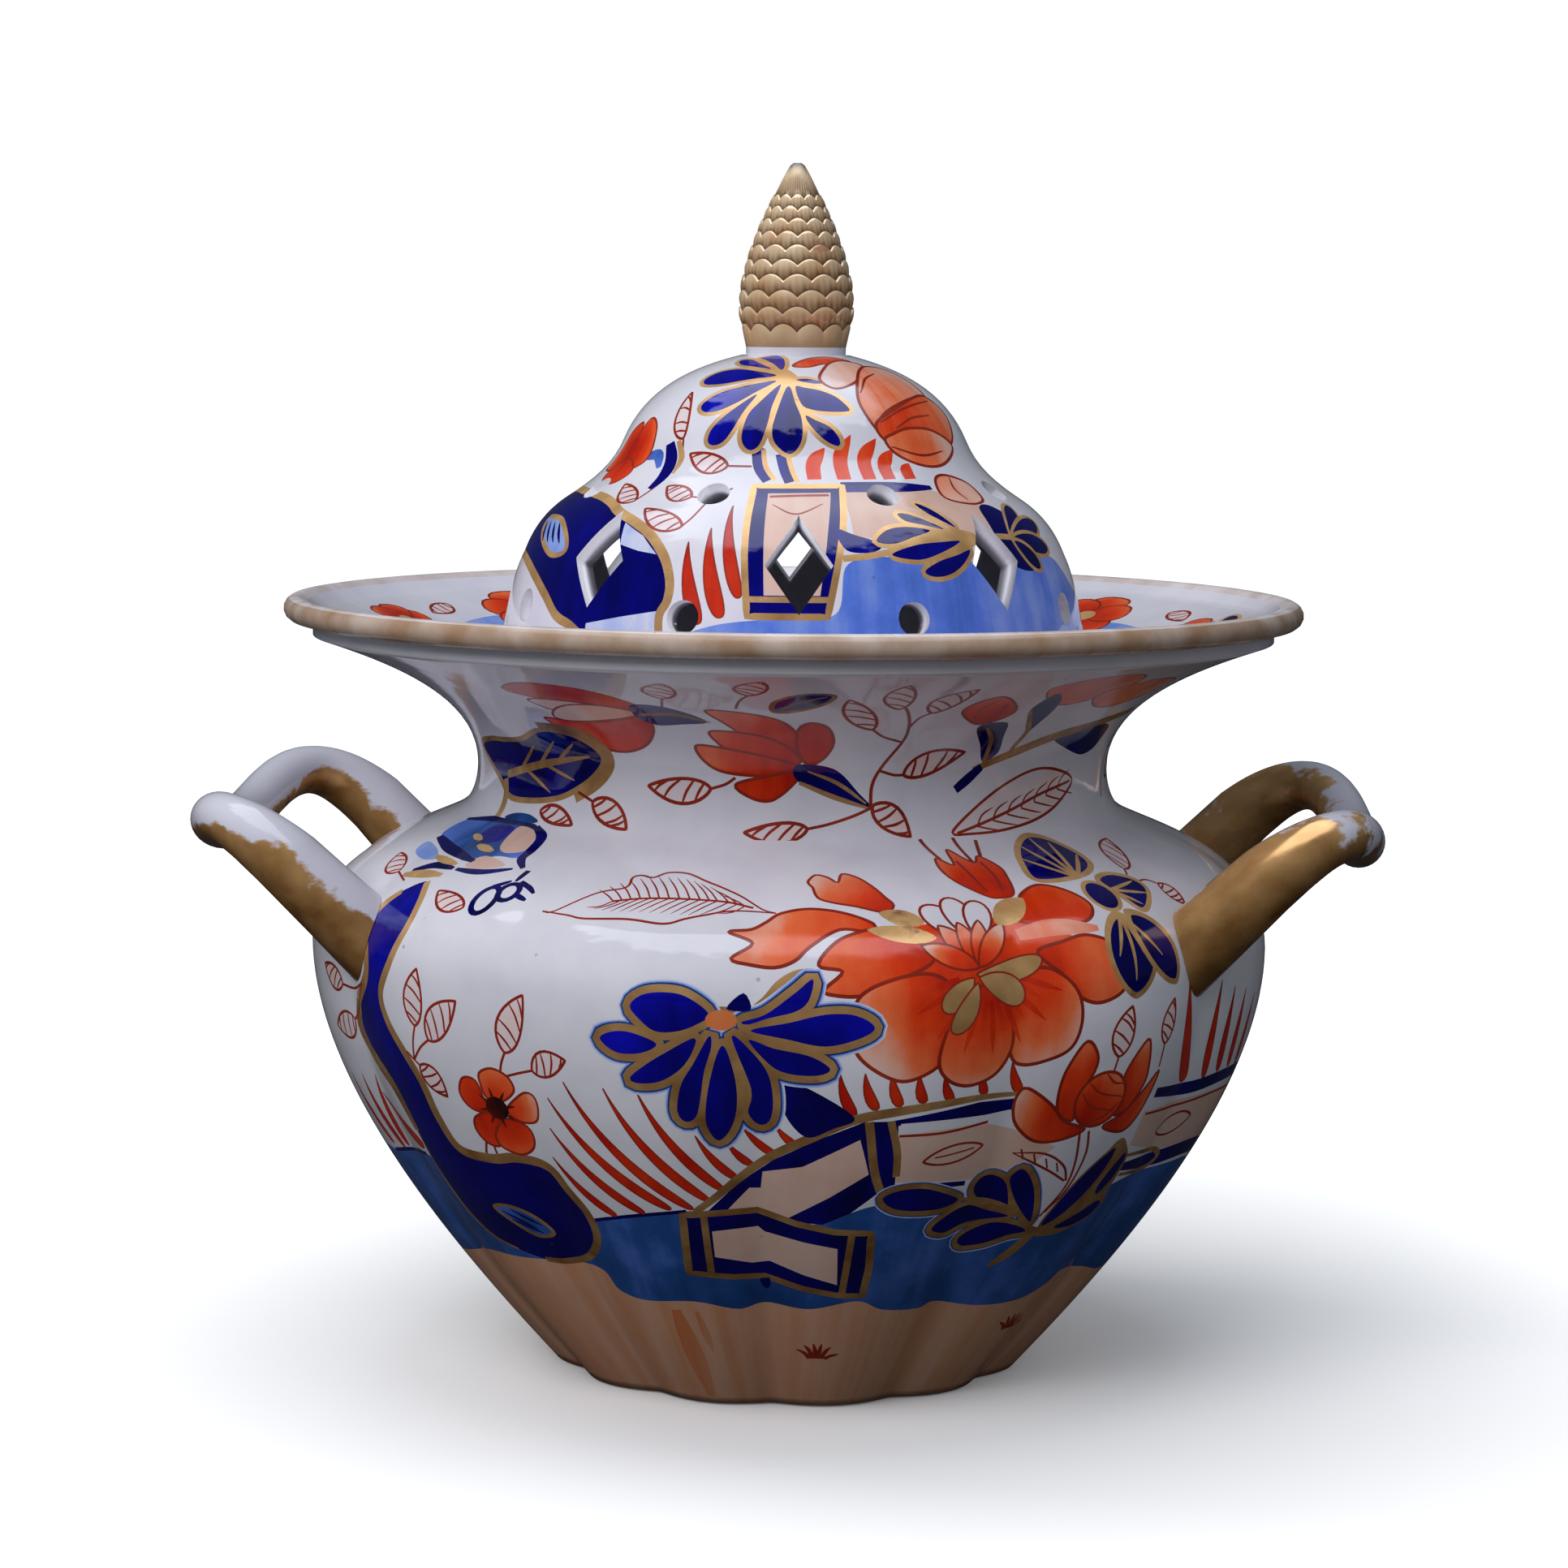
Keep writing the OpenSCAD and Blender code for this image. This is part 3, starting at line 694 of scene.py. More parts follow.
class Graph:
    """A node tree that is built node by node."""

    def __init__(self, tree: NodeTree) -> None:
        """Starts on an empty tree."""
        self.tree = tree

    def add(self, kind: str, sockets: dict[str | int, object] | None = None, **settings: object) -> Node:
        """Adds a node.

        Args:
            kind: The node's type.
            sockets: Values or other nodes' outputs for its inputs, by name or place.
            settings: Values for its own properties.

        Returns:
            The node.
        """
        node = self.tree.nodes.new(kind)
        for name, value in settings.items():
            setattr(node, name, value)
        for name, value in (sockets or {}).items():
            self.feed(node, name, value)
        return node

    def feed(self, node: Node, name: str | int, value: object) -> None:
        """Links an output to an input, or sets the input's value."""
        if isinstance(value, NodeSocket):
            self.tree.links.new(value, node.inputs[name])
        else:
            node.inputs[name].default_value = value

    def noise(self, vector: NodeSocket, scale: float, detail: float = 3.0) -> NodeSocket:
        """A noise value between 0 and 1."""
        return self.add("ShaderNodeTexNoise", {"Vector": vector, "Scale": scale, "Detail": detail}).outputs[0]

    def math(self, operation: str, a: object, b: object = 0.0) -> NodeSocket:
        """A calculation on two values."""
        return self.add("ShaderNodeMath", {0: a, 1: b}, operation=operation).outputs[0]

    def plus(self, value: object, extra: object, amount: float) -> NodeSocket:
        """A value with an amount of another added."""
        return self.math("ADD", value, self.math("MULTIPLY", extra, amount))

    def attribute(self, name: str) -> NodeSocket:
        """A value that is stored on the mesh."""
        return self.add("ShaderNodeAttribute", attribute_name=name).outputs["Fac"]

    def range(self, value: object, low: float, high: float, out_low: float = 0.0, out_high: float = 1.0
              ) -> NodeSocket:
        """A value moved from one range to another, and kept inside it."""
        ports = {"Value": value, "From Min": low, "From Max": high, "To Min": out_low, "To Max": out_high}
        return self.add("ShaderNodeMapRange", ports, clamp=True).outputs[0]

    def mix(self, share: object, a: object, b: object) -> NodeSocket:
        """A mix of two colours."""
        node = self.add("ShaderNodeMix", {0: share}, data_type="RGBA")
        for place, value in ((6, a), (7, b)):
            self.feed(node, place, (*value, 1.0) if isinstance(value, tuple) else value)
        return node.outputs[2]

    def ramp(self, share: object, stops: Sequence[Colour]) -> NodeSocket:
        """A colour along evenly spaced stops."""
        node = self.add("ShaderNodeValToRGB", {0: share})
        elements = node.color_ramp.elements
        while len(elements) < len(stops):
            elements.new(0.5)
        for i, stop in enumerate(stops):
            elements[i].position = i / (len(stops) - 1)
            elements[i].color = (*stop, 1.0)
        return node.outputs[0]

    def place(self, scale: Sequence[float] = (1.0, 1.0, 1.0)) -> NodeSocket:
        """The place on the object, in metres, stretched along its axes."""
        spot = self.add("ShaderNodeTexCoord").outputs["Object"]
        return self.add("ShaderNodeMapping", {"Vector": spot, "Scale": scale}).outputs[0]

    def group(self, tree: NodeTree) -> Node:
        """Adds a shared group."""
        return self.add("ShaderNodeGroup", node_tree=tree)


def shared(name: str, outputs: Sequence[str], fill: Callable[[Graph], Sequence[NodeSocket]]) -> NodeTree:
    """A node group with value outputs, made once.

    Args:
        name: The group's name.
        outputs: Names of its outputs.
        fill: Builds its nodes and gives a socket for each output.

    Returns:
        The group.
    """
    found = bpy.data.node_groups.get(name)
    if found:
        return found
    tree = bpy.data.node_groups.new(name, "ShaderNodeTree")
    for label in outputs:
        tree.interface.new_socket(label, in_out="OUTPUT", socket_type="NodeSocketFloat")
    graph = Graph(tree)
    end = graph.add("NodeGroupOutput")
    for label, socket in zip(outputs, fill(graph)):
        tree.links.new(socket, end.inputs[label])
    return tree


def glaze_skin() -> NodeTree:
    """The clear glaze's surface: its uneven gloss, its slow waves and fine peel, and iron specks."""
    def fill(graph: Graph) -> list[NodeSocket]:
        """Builds the group."""
        spot = graph.place()
        waves = graph.noise(spot, 55.0, 2.0)
        peel = graph.noise(spot, 700.0, 2.0)
        height = graph.plus(waves, peel, 0.03)
        gloss = graph.range(graph.noise(spot, 160.0), 0.3, 0.7)
        cells = graph.add("ShaderNodeTexVoronoi", {"Vector": spot, "Scale": 210.0})
        pick = graph.add("ShaderNodeSeparateColor", {0: cells.outputs["Color"]}).outputs[0]
        near = graph.range(cells.outputs["Distance"], 0.05, 0.11, 1.0, 0.0)
        specks = graph.math("MULTIPLY", near, graph.math("GREATER_THAN", pick, 0.9))
        return [gloss, height, specks]
    return shared("glaze skin", ("Gloss", "Height", "Specks"), fill)


def brushwork() -> NodeTree:
    """How paint lies: streaks down the wall, pools where it gathered, and a fine grain."""
    def fill(graph: Graph) -> list[NodeSocket]:
        """Builds the group."""
        round_wall = graph.add("ShaderNodeVectorMath", {0: graph.place((1.0, 1.0, 0.0))}, operation="NORMALIZE")
        wall = graph.add("ShaderNodeVectorMath", {0: round_wall.outputs[0], "Scale": 0.1}, operation="SCALE")
        down = graph.add(
            "ShaderNodeVectorMath", {0: wall.outputs[0], 1: graph.place((0.0, 0.0, 0.1))}, operation="ADD")
        streaks = graph.noise(down.outputs[0], 150.0, 4.0)
        pools = graph.noise(graph.place(), 95.0, 3.0)
        grain = graph.noise(graph.place(), 1500.0, 2.0)
        return [graph.range(streaks, 0.3, 0.7), graph.range(pools, 0.32, 0.68), grain]
    return shared("brushwork", ("Streaks", "Pools", "Grain"), fill)


def rubbing() -> NodeTree:
    """Where gilding has rubbed away: broad rubs, fine scratches and burnishing marks."""
    def fill(graph: Graph) -> list[NodeSocket]:
        """Builds the group."""
        rubs = graph.noise(graph.place(), 110.0, 5.0)
        scratches = graph.noise(graph.place((1.0, 1.0, 4.0)), 420.0, 4.0)
        marks = graph.noise(graph.place((0.5, 1.0, 0.6)), 240.0, 3.0)
        return [rubs, scratches, marks]
    return shared("rubbing", ("Rubs", "Scratches", "Marks"), fill)


def blank_material(name: str) -> tuple[Material, Graph, Node]:
    """A new material, its graph and its shader."""
    material = bpy.data.materials.new(name)
    material.use_nodes = True
    material.node_tree.nodes.clear()
    graph = Graph(material.node_tree)
    shader = graph.add("ShaderNodeBsdfPrincipled")
    graph.add("ShaderNodeOutputMaterial", {"Surface": shader.outputs[0]})
    return material, graph, shader


@dataclass(frozen=True)
class Enamel:
    """A paint under or over the glaze.

    Attributes:
        name: The material's name.
        stops: Colours from its deepest to its palest.
        base: Place along the stops where the tone is 0.
        gain: How far a full tone moves along them.
        streaks: How far brush streaks move along them.
        pools: How far pooling moves along them.
        roughness: Lowest and highest roughness.
        relief: Strength of the surface's waves.
    """

    name: str
    stops: tuple[Colour, ...]
    base: float = 0.4
    gain: float = 0.0
    streaks: float = 0.2
    pools: float = 0.3
    roughness: Point = (0.03, 0.08)
    relief: float = 0.12

    def material(self) -> Material:
        """Builds the material."""
        material, graph, shader = blank_material(self.name)
        skin, brush = graph.group(glaze_skin()), graph.group(brushwork())
        share = graph.plus(self.base, graph.attribute("tone"), self.gain)
        for mark, amount in (("Streaks", self.streaks), ("Pools", self.pools), ("Grain", 0.06)):
            share = graph.plus(share, graph.math("SUBTRACT", brush.outputs[mark], 0.5), amount)
        colour = graph.ramp(share, self.stops)
        speck = graph.math("MULTIPLY", skin.outputs["Specks"], 0.45)
        graph.feed(shader, "Base Color", graph.mix(speck, colour, srgb(0.36, 0.27, 0.2)))
        graph.feed(shader, "Roughness", graph.range(skin.outputs["Gloss"], 0.0, 1.0, *self.roughness))
        bump = graph.add(
            "ShaderNodeBump", {"Strength": self.relief, "Distance": 0.0016, "Height": skin.outputs["Height"]})
        graph.feed(shader, "Normal", bump.outputs[0])
        graph.feed(shader, "IOR", 1.5)
        return material


@dataclass(frozen=True)
class Gilding:
    """Gold laid over the glaze and partly rubbed away, its colour painted paler on faces that look up as painted top
    light.

    Attributes:
        name: The material's name.
        gold: Colours of the gold, from dull to bright; the bright end is painted on faces that look up, as painted
            top light.
        under: What shows where it is rubbed away.
        wear: Share of it that is rubbed away.
        top_wear_and_reflection: How much more is gone from faces that look up; this pale rubbing also stands for the
            sky's reflection on the tops, as painted reflection.
        tone_wear: How much more is gone where the tone is full.
        bend_wear_and_highlight: How much more is gone far out along X, at a handle's bend; this also stands for a
            highlight there, as painted highlight.
        recess: Colour of the painted shade laid in hollows, if there is any.
        metal: How metallic the gold still looks.
        roughness: Lowest and highest roughness of the gold.
    """

    name: str
    gold: tuple[Colour, Colour]
    under: Colour
    wear: float = 0.2
    top_wear_and_reflection: float = 0.0
    tone_wear: float = 0.0
    bend_wear_and_highlight: float = 0.0
    recess: Colour | None = None
    metal: float = 0.3
    roughness: Point = (0.17, 0.3)

    def material(self) -> Material:
        """Builds the material."""
        material, graph, shader = blank_material(self.name)
        rub, skin = graph.group(rubbing()), graph.group(glaze_skin())
        facing = graph.add("ShaderNodeTexCoord").outputs["Normal"]
        upward = graph.add("ShaderNodeSeparateXYZ", {0: facing}).outputs[2]
        worn = graph.plus(rub.outputs["Rubs"], graph.math("SUBTRACT", rub.outputs["Scratches"], 0.5), 0.14)
        # Faces that look up and a handle's bend show more of the pale under colour: wear, and also painted reflection
        # and painted highlight.
        worn = graph.plus(worn, upward, self.top_wear_and_reflection)
        worn = graph.plus(worn, graph.attribute("tone"), self.tone_wear)
        if self.bend_wear_and_highlight:
            out = graph.add("ShaderNodeSeparateXYZ", {0: graph.place()}).outputs[0]
            worn = graph.plus(worn, graph.range(graph.math("ABSOLUTE", out), *HANDLE_BEND), self.bend_wear_and_highlight)
        rub_and_glint_mask = graph.range(worn, 0.74 - 0.6 * self.wear, 0.82 - 0.6 * self.wear)
        # Painted top light: the gold's colour runs paler on faces that look up, mixed with the burnishing marks.
        sheen = graph.plus(rub.outputs["Marks"], upward, 0.45)
        gold = graph.mix(graph.range(sheen, 0.05, 1.0), *self.gold)
        # Painted shade: the gold is darkened towards the recess colour where the mesh's recess value is high.
        if self.recess:
            gold = graph.mix(graph.attribute("recess"), gold, self.recess)
        graph.feed(shader, "Base Color", graph.mix(rub_and_glint_mask, gold, self.under))
        graph.feed(shader, "Metallic", graph.range(rub_and_glint_mask, 0.0, 1.0, self.metal, 0.0))
        dull = graph.range(rub.outputs["Marks"], 0.3, 0.7, *self.roughness)
        graph.feed(shader, "Roughness", graph.math("MULTIPLY", dull, graph.range(rub_and_glint_mask, 0.0, 1.0, 1.0, 0.45)))
        height = graph.plus(skin.outputs["Height"], rub_and_glint_mask, -0.03)
        bump = graph.add("ShaderNodeBump", {"Strength": 0.15, "Distance": 0.001, "Height": height})
        graph.feed(shader, "Normal", bump.outputs[0])
        return material


WHITE = (srgb(0.84, 0.84, 0.88), srgb(0.89, 0.885, 0.925), srgb(0.92, 0.915, 0.945))
GOLD = (srgb(0.52, 0.32, 0.10), srgb(0.95, 0.75, 0.50))
ENAMELS = {
    Paint.GLAZE: Enamel("blue-white glaze", WHITE, base=0.5, streaks=0.1, pools=0.4),
    Paint.COBALT: Enamel(
        "cobalt under glaze", (srgb(0.01, 0.01, 0.24), srgb(0.02, 0.02, 0.46), srgb(0.05, 0.06, 0.72)),
        base=0.22, gain=0.6, streaks=0.25),
    Paint.WASH: Enamel(
        "blue wash", (srgb(0.08, 0.20, 0.42), srgb(0.15, 0.33, 0.62), srgb(0.36, 0.50, 0.88),
                      srgb(0.60, 0.70, 0.92), WHITE[1]),
        base=0.0, gain=1.0, streaks=0.14, pools=0.16),
    Paint.RED: Enamel(
        "iron red", (srgb(0.74, 0.10, 0.03), srgb(0.90, 0.25, 0.08), srgb(0.95, 0.46, 0.27),
                     srgb(0.94, 0.73, 0.65), srgb(0.90, 0.85, 0.87)),
        base=0.02, gain=0.98, streaks=0.14, pools=0.14, roughness=(0.10, 0.2)),
    Paint.LINE: Enamel(
        "red line", (srgb(0.14, 0.05, 0.04), srgb(0.50, 0.12, 0.07), srgb(0.62, 0.19, 0.11),
                     srgb(0.70, 0.26, 0.17)),
        base=0.55, gain=-0.55, streaks=0.1, roughness=(0.14, 0.24)),
    Paint.SALMON: Enamel(
        "salmon wash", (srgb(0.82, 0.66, 0.58), srgb(0.88, 0.74, 0.68), srgb(0.91, 0.80, 0.76)),
        base=0.5, streaks=0.3, roughness=(0.08, 0.16)),
    Paint.GROUND: Enamel(
        "brown ground", (srgb(0.86, 0.48, 0.27), srgb(0.88, 0.64, 0.50), srgb(0.92, 0.75, 0.65)),
        base=0.58, gain=-0.55, streaks=0.42, pools=0.05, roughness=(0.1, 0.2)),
    Paint.LIP: Enamel(
        "worn lip", (srgb(0.66, 0.53, 0.42), srgb(0.80, 0.73, 0.68), srgb(0.90, 0.87, 0.88)),
        base=0.0, gain=1.0, streaks=0.1, pools=0.5, roughness=(0.18, 0.3)),
}
LINE_GILT = Gilding(
    "painted gilding", (srgb(0.52, 0.35, 0.17), srgb(0.92, 0.74, 0.50)), srgb(0.56, 0.40, 0.28), wear=0.08,
    tone_wear=0.2)


def paints() -> list[Material]:
    """A material for every paint, in the order of their slots."""
    made = bpy.data.materials
    chosen = []
    for paint in Paint:
        finish = LINE_GILT if paint is Paint.GILT else ENAMELS[paint]
        chosen.append(made.get(finish.name) or finish.material())
    return chosen


def painted_piece(bm: BMesh, drawn: set[BMVert], body: str, node: str) -> Object:
    """Makes a painted object, plainly glazed away from the surface that was drawn on.

    Args:
        bm: The mesh, which is freed.
        drawn: The points of the surface that was drawn on.
        body: The body that the object rides on.
        node: The node that it stands for.

    Returns:
        The object.
    """
    skin = bm.verts.layers.float_vector["skin"]
    for vert in bm.verts:
        if vert not in drawn:
            vert[skin] = (0.0, 0.0, 0.0)
    for face in bm.faces:
        if not drawn.issuperset(face.verts):
            face.material_index = Paint.GLAZE.value
    bmesh.ops.recalc_face_normals(bm, faces=bm.faces[:])
    return piece(bm, "painted_" + node, paints(), body, node)


@dataclass
class Bowl:
    """The melon-lobed bowl with its painted garden.

    Attributes:
        foot_r: Radius of the wall's lower edge.
        foot_lift: Height of that edge above the table.
        belly_r: Radius of the belly over the lobes.
        belly_z: Height of the belly.
        joint_r: Radius at the joint with the neck.
        joint_z: Height of that joint.
        wall: Thickness of the wall.
        ledge_r: Radius inside the wall at the foot's ledge.
        ledge_z: Top of the ledge.
        hole_r: Radius of the opening inside the ledge.
        disc_top: Height of the disc that closes the foot.
        foot_arm: Angle and length of the flank's arm at the foot.
        belly_arms: Lengths of the arms below and above the belly.
        joint_arm: Angle and length of the shoulder's arm at the joint.
        lobes: The lobes.
    """

    foot_r: float = 49.5
    foot_lift: float = 0.4
    belly_r: float = 100.4
    belly_z: float = 90.0
    joint_r: float = 68.2
    joint_z: float = 117.6
    wall: float = 5.6
    ledge_r: float = 46.9
    ledge_z: float = 4.2
    hole_r: float = 40.1
    disc_top: float = 7.8
    foot_arm: Point = (48.0, 38.0)
    belly_arms: Point = (28.0, 19.0)
    joint_arm: Point = (131.6, 6.0)
    lobes: Lobes = Lobes()

    def runs(self) -> list[np.ndarray]:
        """The outside profile: the flank up to the belly, and the shoulder."""
        foot = np.array([self.foot_r, self.foot_lift])
        joint = np.array([self.joint_r, self.joint_z])
        belly = np.array([self.belly_r, self.belly_z])
        below, above = self.belly_arms
        return [cubic(foot, foot + along(*self.foot_arm), belly - (0, below), belly),
                cubic(belly, belly + (0, above), joint - along(*self.joint_arm), joint)]

    def build(self) -> Object:
        """Draws the outside, then turns the inside and the foot from its edges."""
        flank, shoulder = self.runs()
        chart = Chart([flank, shoulder], reference=100.0, columns=180, row=2.4, lobes=self.lobes, joins=(False, True))
        brush = Brush(chart)
        self.dress(brush)
        bm = full_turn(sheet(chart, brush, [], "bowl_outside"))
        drawn = set(bm.verts)
        low, high = boundary_loops(bm)
        inside = np.concatenate([inset(shoulder, self.wall)[::9], inset(flank, self.wall)[5::6]])
        stations = [(self.joint_r - self.wall, self.joint_z)]
        stations += [tuple(p) for p in inside if p[1] > self.disc_top]
        stations += [(self.ledge_r, self.ledge_z), (self.hole_r, self.ledge_z), (self.hole_r, self.foot_lift)]
        last = turned(bm, high, stations)
        bmesh.ops.bridge_loops(bm, edges=low + last)
        return painted_piece(bm, drawn, "vase", "bowl")

    def dress(self, brush: Brush) -> None:
        """Paints the garden from the ground up."""
        self.ground(brush)
        self.rock(brush)
        self.branch(brush)
        self.sprigs(brush)
        self.grass(brush)
        self.fence(brush)
        self.peony(brush)
        self.palm(brush)
        self.shoulder_leaves(brush)
        self.far_panel(brush)
        self.cluster(brush)
        self.rosebud(brush)

    def ground(self, brush: Brush) -> None:
        """The brown ground at the foot, the blue water over it and the tufts on it."""
        half = brush.chart.half
        shore = [
            (-half - 4, 32), (-half, 32), (-140, 31), (-120, 33), (-90, 39), (-75, 40), (-48, 41), (-43, 35),
            (-35, 33), (-20, 34), (-8, 32), (0, 34), (12, 32.5), (25, 35), (33, 32), (45, 31), (50, 32.5), (65, 30),
            (80, 30), (90, 33), (95, 36), (110, 34), (125, 31), (145, 33), (half, 32), (half + 4, 32)]
        bank = [(half + 4, 61), (half, 61), (135, 60), (122, 61), (90, 60), (78, 52), (68, 51), (60, 54), (45, 57),
                (27, 62), (12, 57), (0, 60), (-17, 59.7), (-30, 57.5), (-43, 54.5), (-60, 57), (-92, 64),
                (-105, 62.5), (-118, 60), (-140, 62), (-half, 61), (-half - 4, 61)]
        edge, water = spline(shore), spline(bank)
        below = np.array([(half + 4, -5), (-half - 4, -5)])
        brush.fill(np.concatenate([edge, below]), Paint.GROUND)
        brush.fill(np.concatenate([edge, water]), Paint.WASH, (0, 30), 30, (0.10, 0.28))
        brush.strokes((
            ((-43, 54.5), (-30, 57.5), (-17, 59.7)), ((-118, 60), (-105, 62.5), (-92, 64))), 0.9, Paint.COBALT)
        brush.stroke([(-26, 31), (-25, 20), (-23.5, 2)], 4.0, Paint.GROUND, (0.5, 0.3), (1.0, 0.5))
        brush.stroke([(-20, 31), (-18, 18)], 1.6, Paint.GROUND, (0.4, 0.2), (0.9, 0.6))
        for x, y in ((16, 16.5), (85.5, 20)):
            for end_x, end_y in ((-7, 3), (-4.5, 4.4), (-1.6, 5), (1, 4.9), (4, 4), (7, 1.6)):
                start = (x + 0.35 * end_x, y)
                brush.stroke([
                    start, (x + 0.6 * end_x, y + 0.6 * end_y), (x + end_x, y + end_y)], 0.9, Paint.LINE, (1.0, 0.2))

    def rock(self, brush: Brush) -> None:
        """The blue rock and its scroll under the left of the neck."""
        for mass, base, tones in (
                ([(-116, 146), (-108, 148.6), (-95, 149.6), (-80, 149.4), (-72, 147.4), (-68.5, 142), (-69, 138),
                  (-76, 137.6), (-83, 134.2), (-93, 135.6), (-105, 138), (-114, 141)], (-88, 145), (0.1, 0.62)),
                ([(-112, 137), (-101, 135.2), (-96, 132.6), (-103, 131.4), (-111, 133.4)], (-100, 134), (0.7, 0.7))):
            brush.blob(mass, Paint.WASH, base, 30, tones)
        brush.blob([
            (-95, 147.6), (-86, 148.2), (-83.4, 144.6), (-86, 141.6), (-92, 141.8), (-96, 144.4)], Paint.COBALT,
            tones=(0.7, 0.7))
        for blob in ([(-84.6, 148.4), (-77, 148.4), (-71.4, 145), (-69.8, 141), (-75, 139.2), (-80.6, 141.6)],
                     [(-80, 137), (-72, 136), (-69.6, 134.4), (-76, 132.4), (-82, 133)]):
            brush.blob(blob, Paint.SALMON)
        for line, width in (
                ([(-116, 147.2), (-104, 149), (-92, 149.8), (-80, 149.6), (-73, 148)], 1.8),
                ([(-77, 149.4), (-70.6, 146.4), (-68, 141), (-67.4, 138), (-63.4, 134.6)], 2.6),
                ([(-112, 139.6), (-100, 137.4), (-90, 136), (-81, 134.6)], 3.0),
                ([(-99, 127.6), (-92, 131), (-84, 131.2)], 2.6), ([(-83, 131.2), (-74, 131.6), (-66, 134)], 2.0)):
            brush.stroke(line, width, Paint.COBALT, (0.5, 0.4))
        for line, width in (([(-98, 143.5), (-91, 142)], 1.8), ([(-89, 140.4), (-80, 139)], 2.2),
                            ([(-98, 133.6), (-85, 132.6)], 2.2), ([(-101, 125.8), (-93, 127.6), (-85, 128.6)], 2.8)):
            brush.stroke(line, width, Paint.GILT, (0.4, 0.4))
        for ring in (ellipse((-65, 123.8), 2.6, 3.8), ellipse((-60.7, 126.6), 2.4, 2.6)):
            brush.edge(ring, 1.3, Paint.COBALT)
        brush.strokes((
            [(-61, 134), (-61.4, 130)], [(-60, 130), (-56.5, 128.5), (-54.2, 126.8)], [(-58.4, 126), (-55, 124.6)],
            [(-66, 127.5), (-62.5, 130)]), 1.3, Paint.COBALT, (1.0, 0.5))

    def branch(self, brush: Brush) -> None:
        """The blue branch with gilt edges, and the pod that it ends in."""
        right = [(-87, 126), (-83, 121), (-81.5, 115), (-84, 107.5), (-88, 100.5), (-86.5, 95), (-82, 89),
                 (-78.5, 83), (-77, 75), (-74, 68.5), (-65, 67.4), (-58, 68.4), (-50, 67), (-46.5, 62),
                 (-43, 56.5), (-42.5, 51), (-45, 46.5), (-50, 43), (-58, 41), (-64, 40.8)]
        left = [(-72, 42.5), (-80, 45), (-86, 51), (-89, 60), (-90, 70), (-93, 79.5), (-101, 86), (-104.4, 91),
                (-102, 97), (-96, 102), (-95, 106), (-98, 112), (-97, 117), (-93, 122)]
        brush.blob(right + left, Paint.COBALT, (-66, 50), 80, (0.0, 0.8))
        brush.stroke(right, 2.4, Paint.GILT, (0.7, 0.6), (0.2, 0.7))
        brush.stroke(left[:5], 1.2, Paint.GILT, (0.6, 0.3), (0.7, 0.7))
        brush.stroke(left[4:9], 4.0, Paint.GILT, (0.5, 0.7), (0.5, 0.8))
        brush.stroke(left[8:], 2.9, Paint.GILT, (0.9, 0.6), (0.5, 0.3))
        brush.blob([(-104, 102), (-99, 105), (-100, 111), (-104, 113)], Paint.COBALT)
        eye = spline([(-72, 54), (-66, 55), (-60, 52.8), (-57, 49), (-62, 47.6), (-67, 50)], True)
        brush.fill(eye, Paint.WASH, (-64, 51), 12, (0.2, 0.5))
        brush.strokes((
            [(-70, 53.4), (-61, 49.6)], [(-68, 51.4), (-60, 48.6)], [(-67, 54.2), (-59.5, 50.8)]), 0.8, Paint.COBALT,
            (0.3, 0.3))
        brush.edge(eye, 0.9, Paint.GILT)

    def sprigs(self, brush: Brush) -> None:
        """The small red sprigs, leaves and the five-petalled flower on the white ground."""
        for base, tip, width in (
                ((-76.5, 95.5), (-75, 107), 5.5), ((-73, 93), (-64.5, 101.8), 5.8), ((-77.5, 87), (-71.5, 81), 5.2),
                ((-54, 92.5), (-48.3, 104.5), 6.0), ((-47.5, 89.5), (-38.8, 92.6), 5.2),
                ((-110, 99), (-119, 102), 5.0), ((-107, 92), (-118, 89), 5.6), ((-105, 112.5), (-111.8, 114.2), 5.0),
                ((-105, 126), (-115.5, 131.2), 5.2), ((-69, 121), (-80, 124.3), 4.6), ((76, 92), (78, 102), 5.6),
                ((90, 93), (91.5, 102), 4.4), ((98, 133), (110.5, 144), 6.5), ((104, 126.5), (107, 120), 4.6)):
            brush.leaf(base, tip, width)
        brush.strokes((
            [(-79, 88), (-78, 92), (-76.5, 95.5)], [(-79, 88), (-76, 91), (-73, 93)],
            [(-81, 89.5), (-79, 88), (-77.5, 87)], [(-56, 87.5), (-55.3, 90), (-54, 92.5)],
            [(-56, 87), (-51.5, 88.4), (-47.5, 89.5)], [(-110, 99), (-104, 99), (-98, 101)],
            [(-107, 92), (-103, 95), (-98, 101)], [(-105, 112.5), (-100, 112)], [(-105, 126), (-97, 124.5)],
            [(75.5, 88.5), (76, 92)], [(90, 88), (90, 93)], [(97, 128.6), (101, 128.4), (104, 126.5)],
            [(96, 131), (98, 133)], [(-64.5, 72), (-66, 68.6)], [(-63, 71.6), (-63, 68.8)]), 0.55, Paint.LINE)
        centre = (-58.8, 80.0)
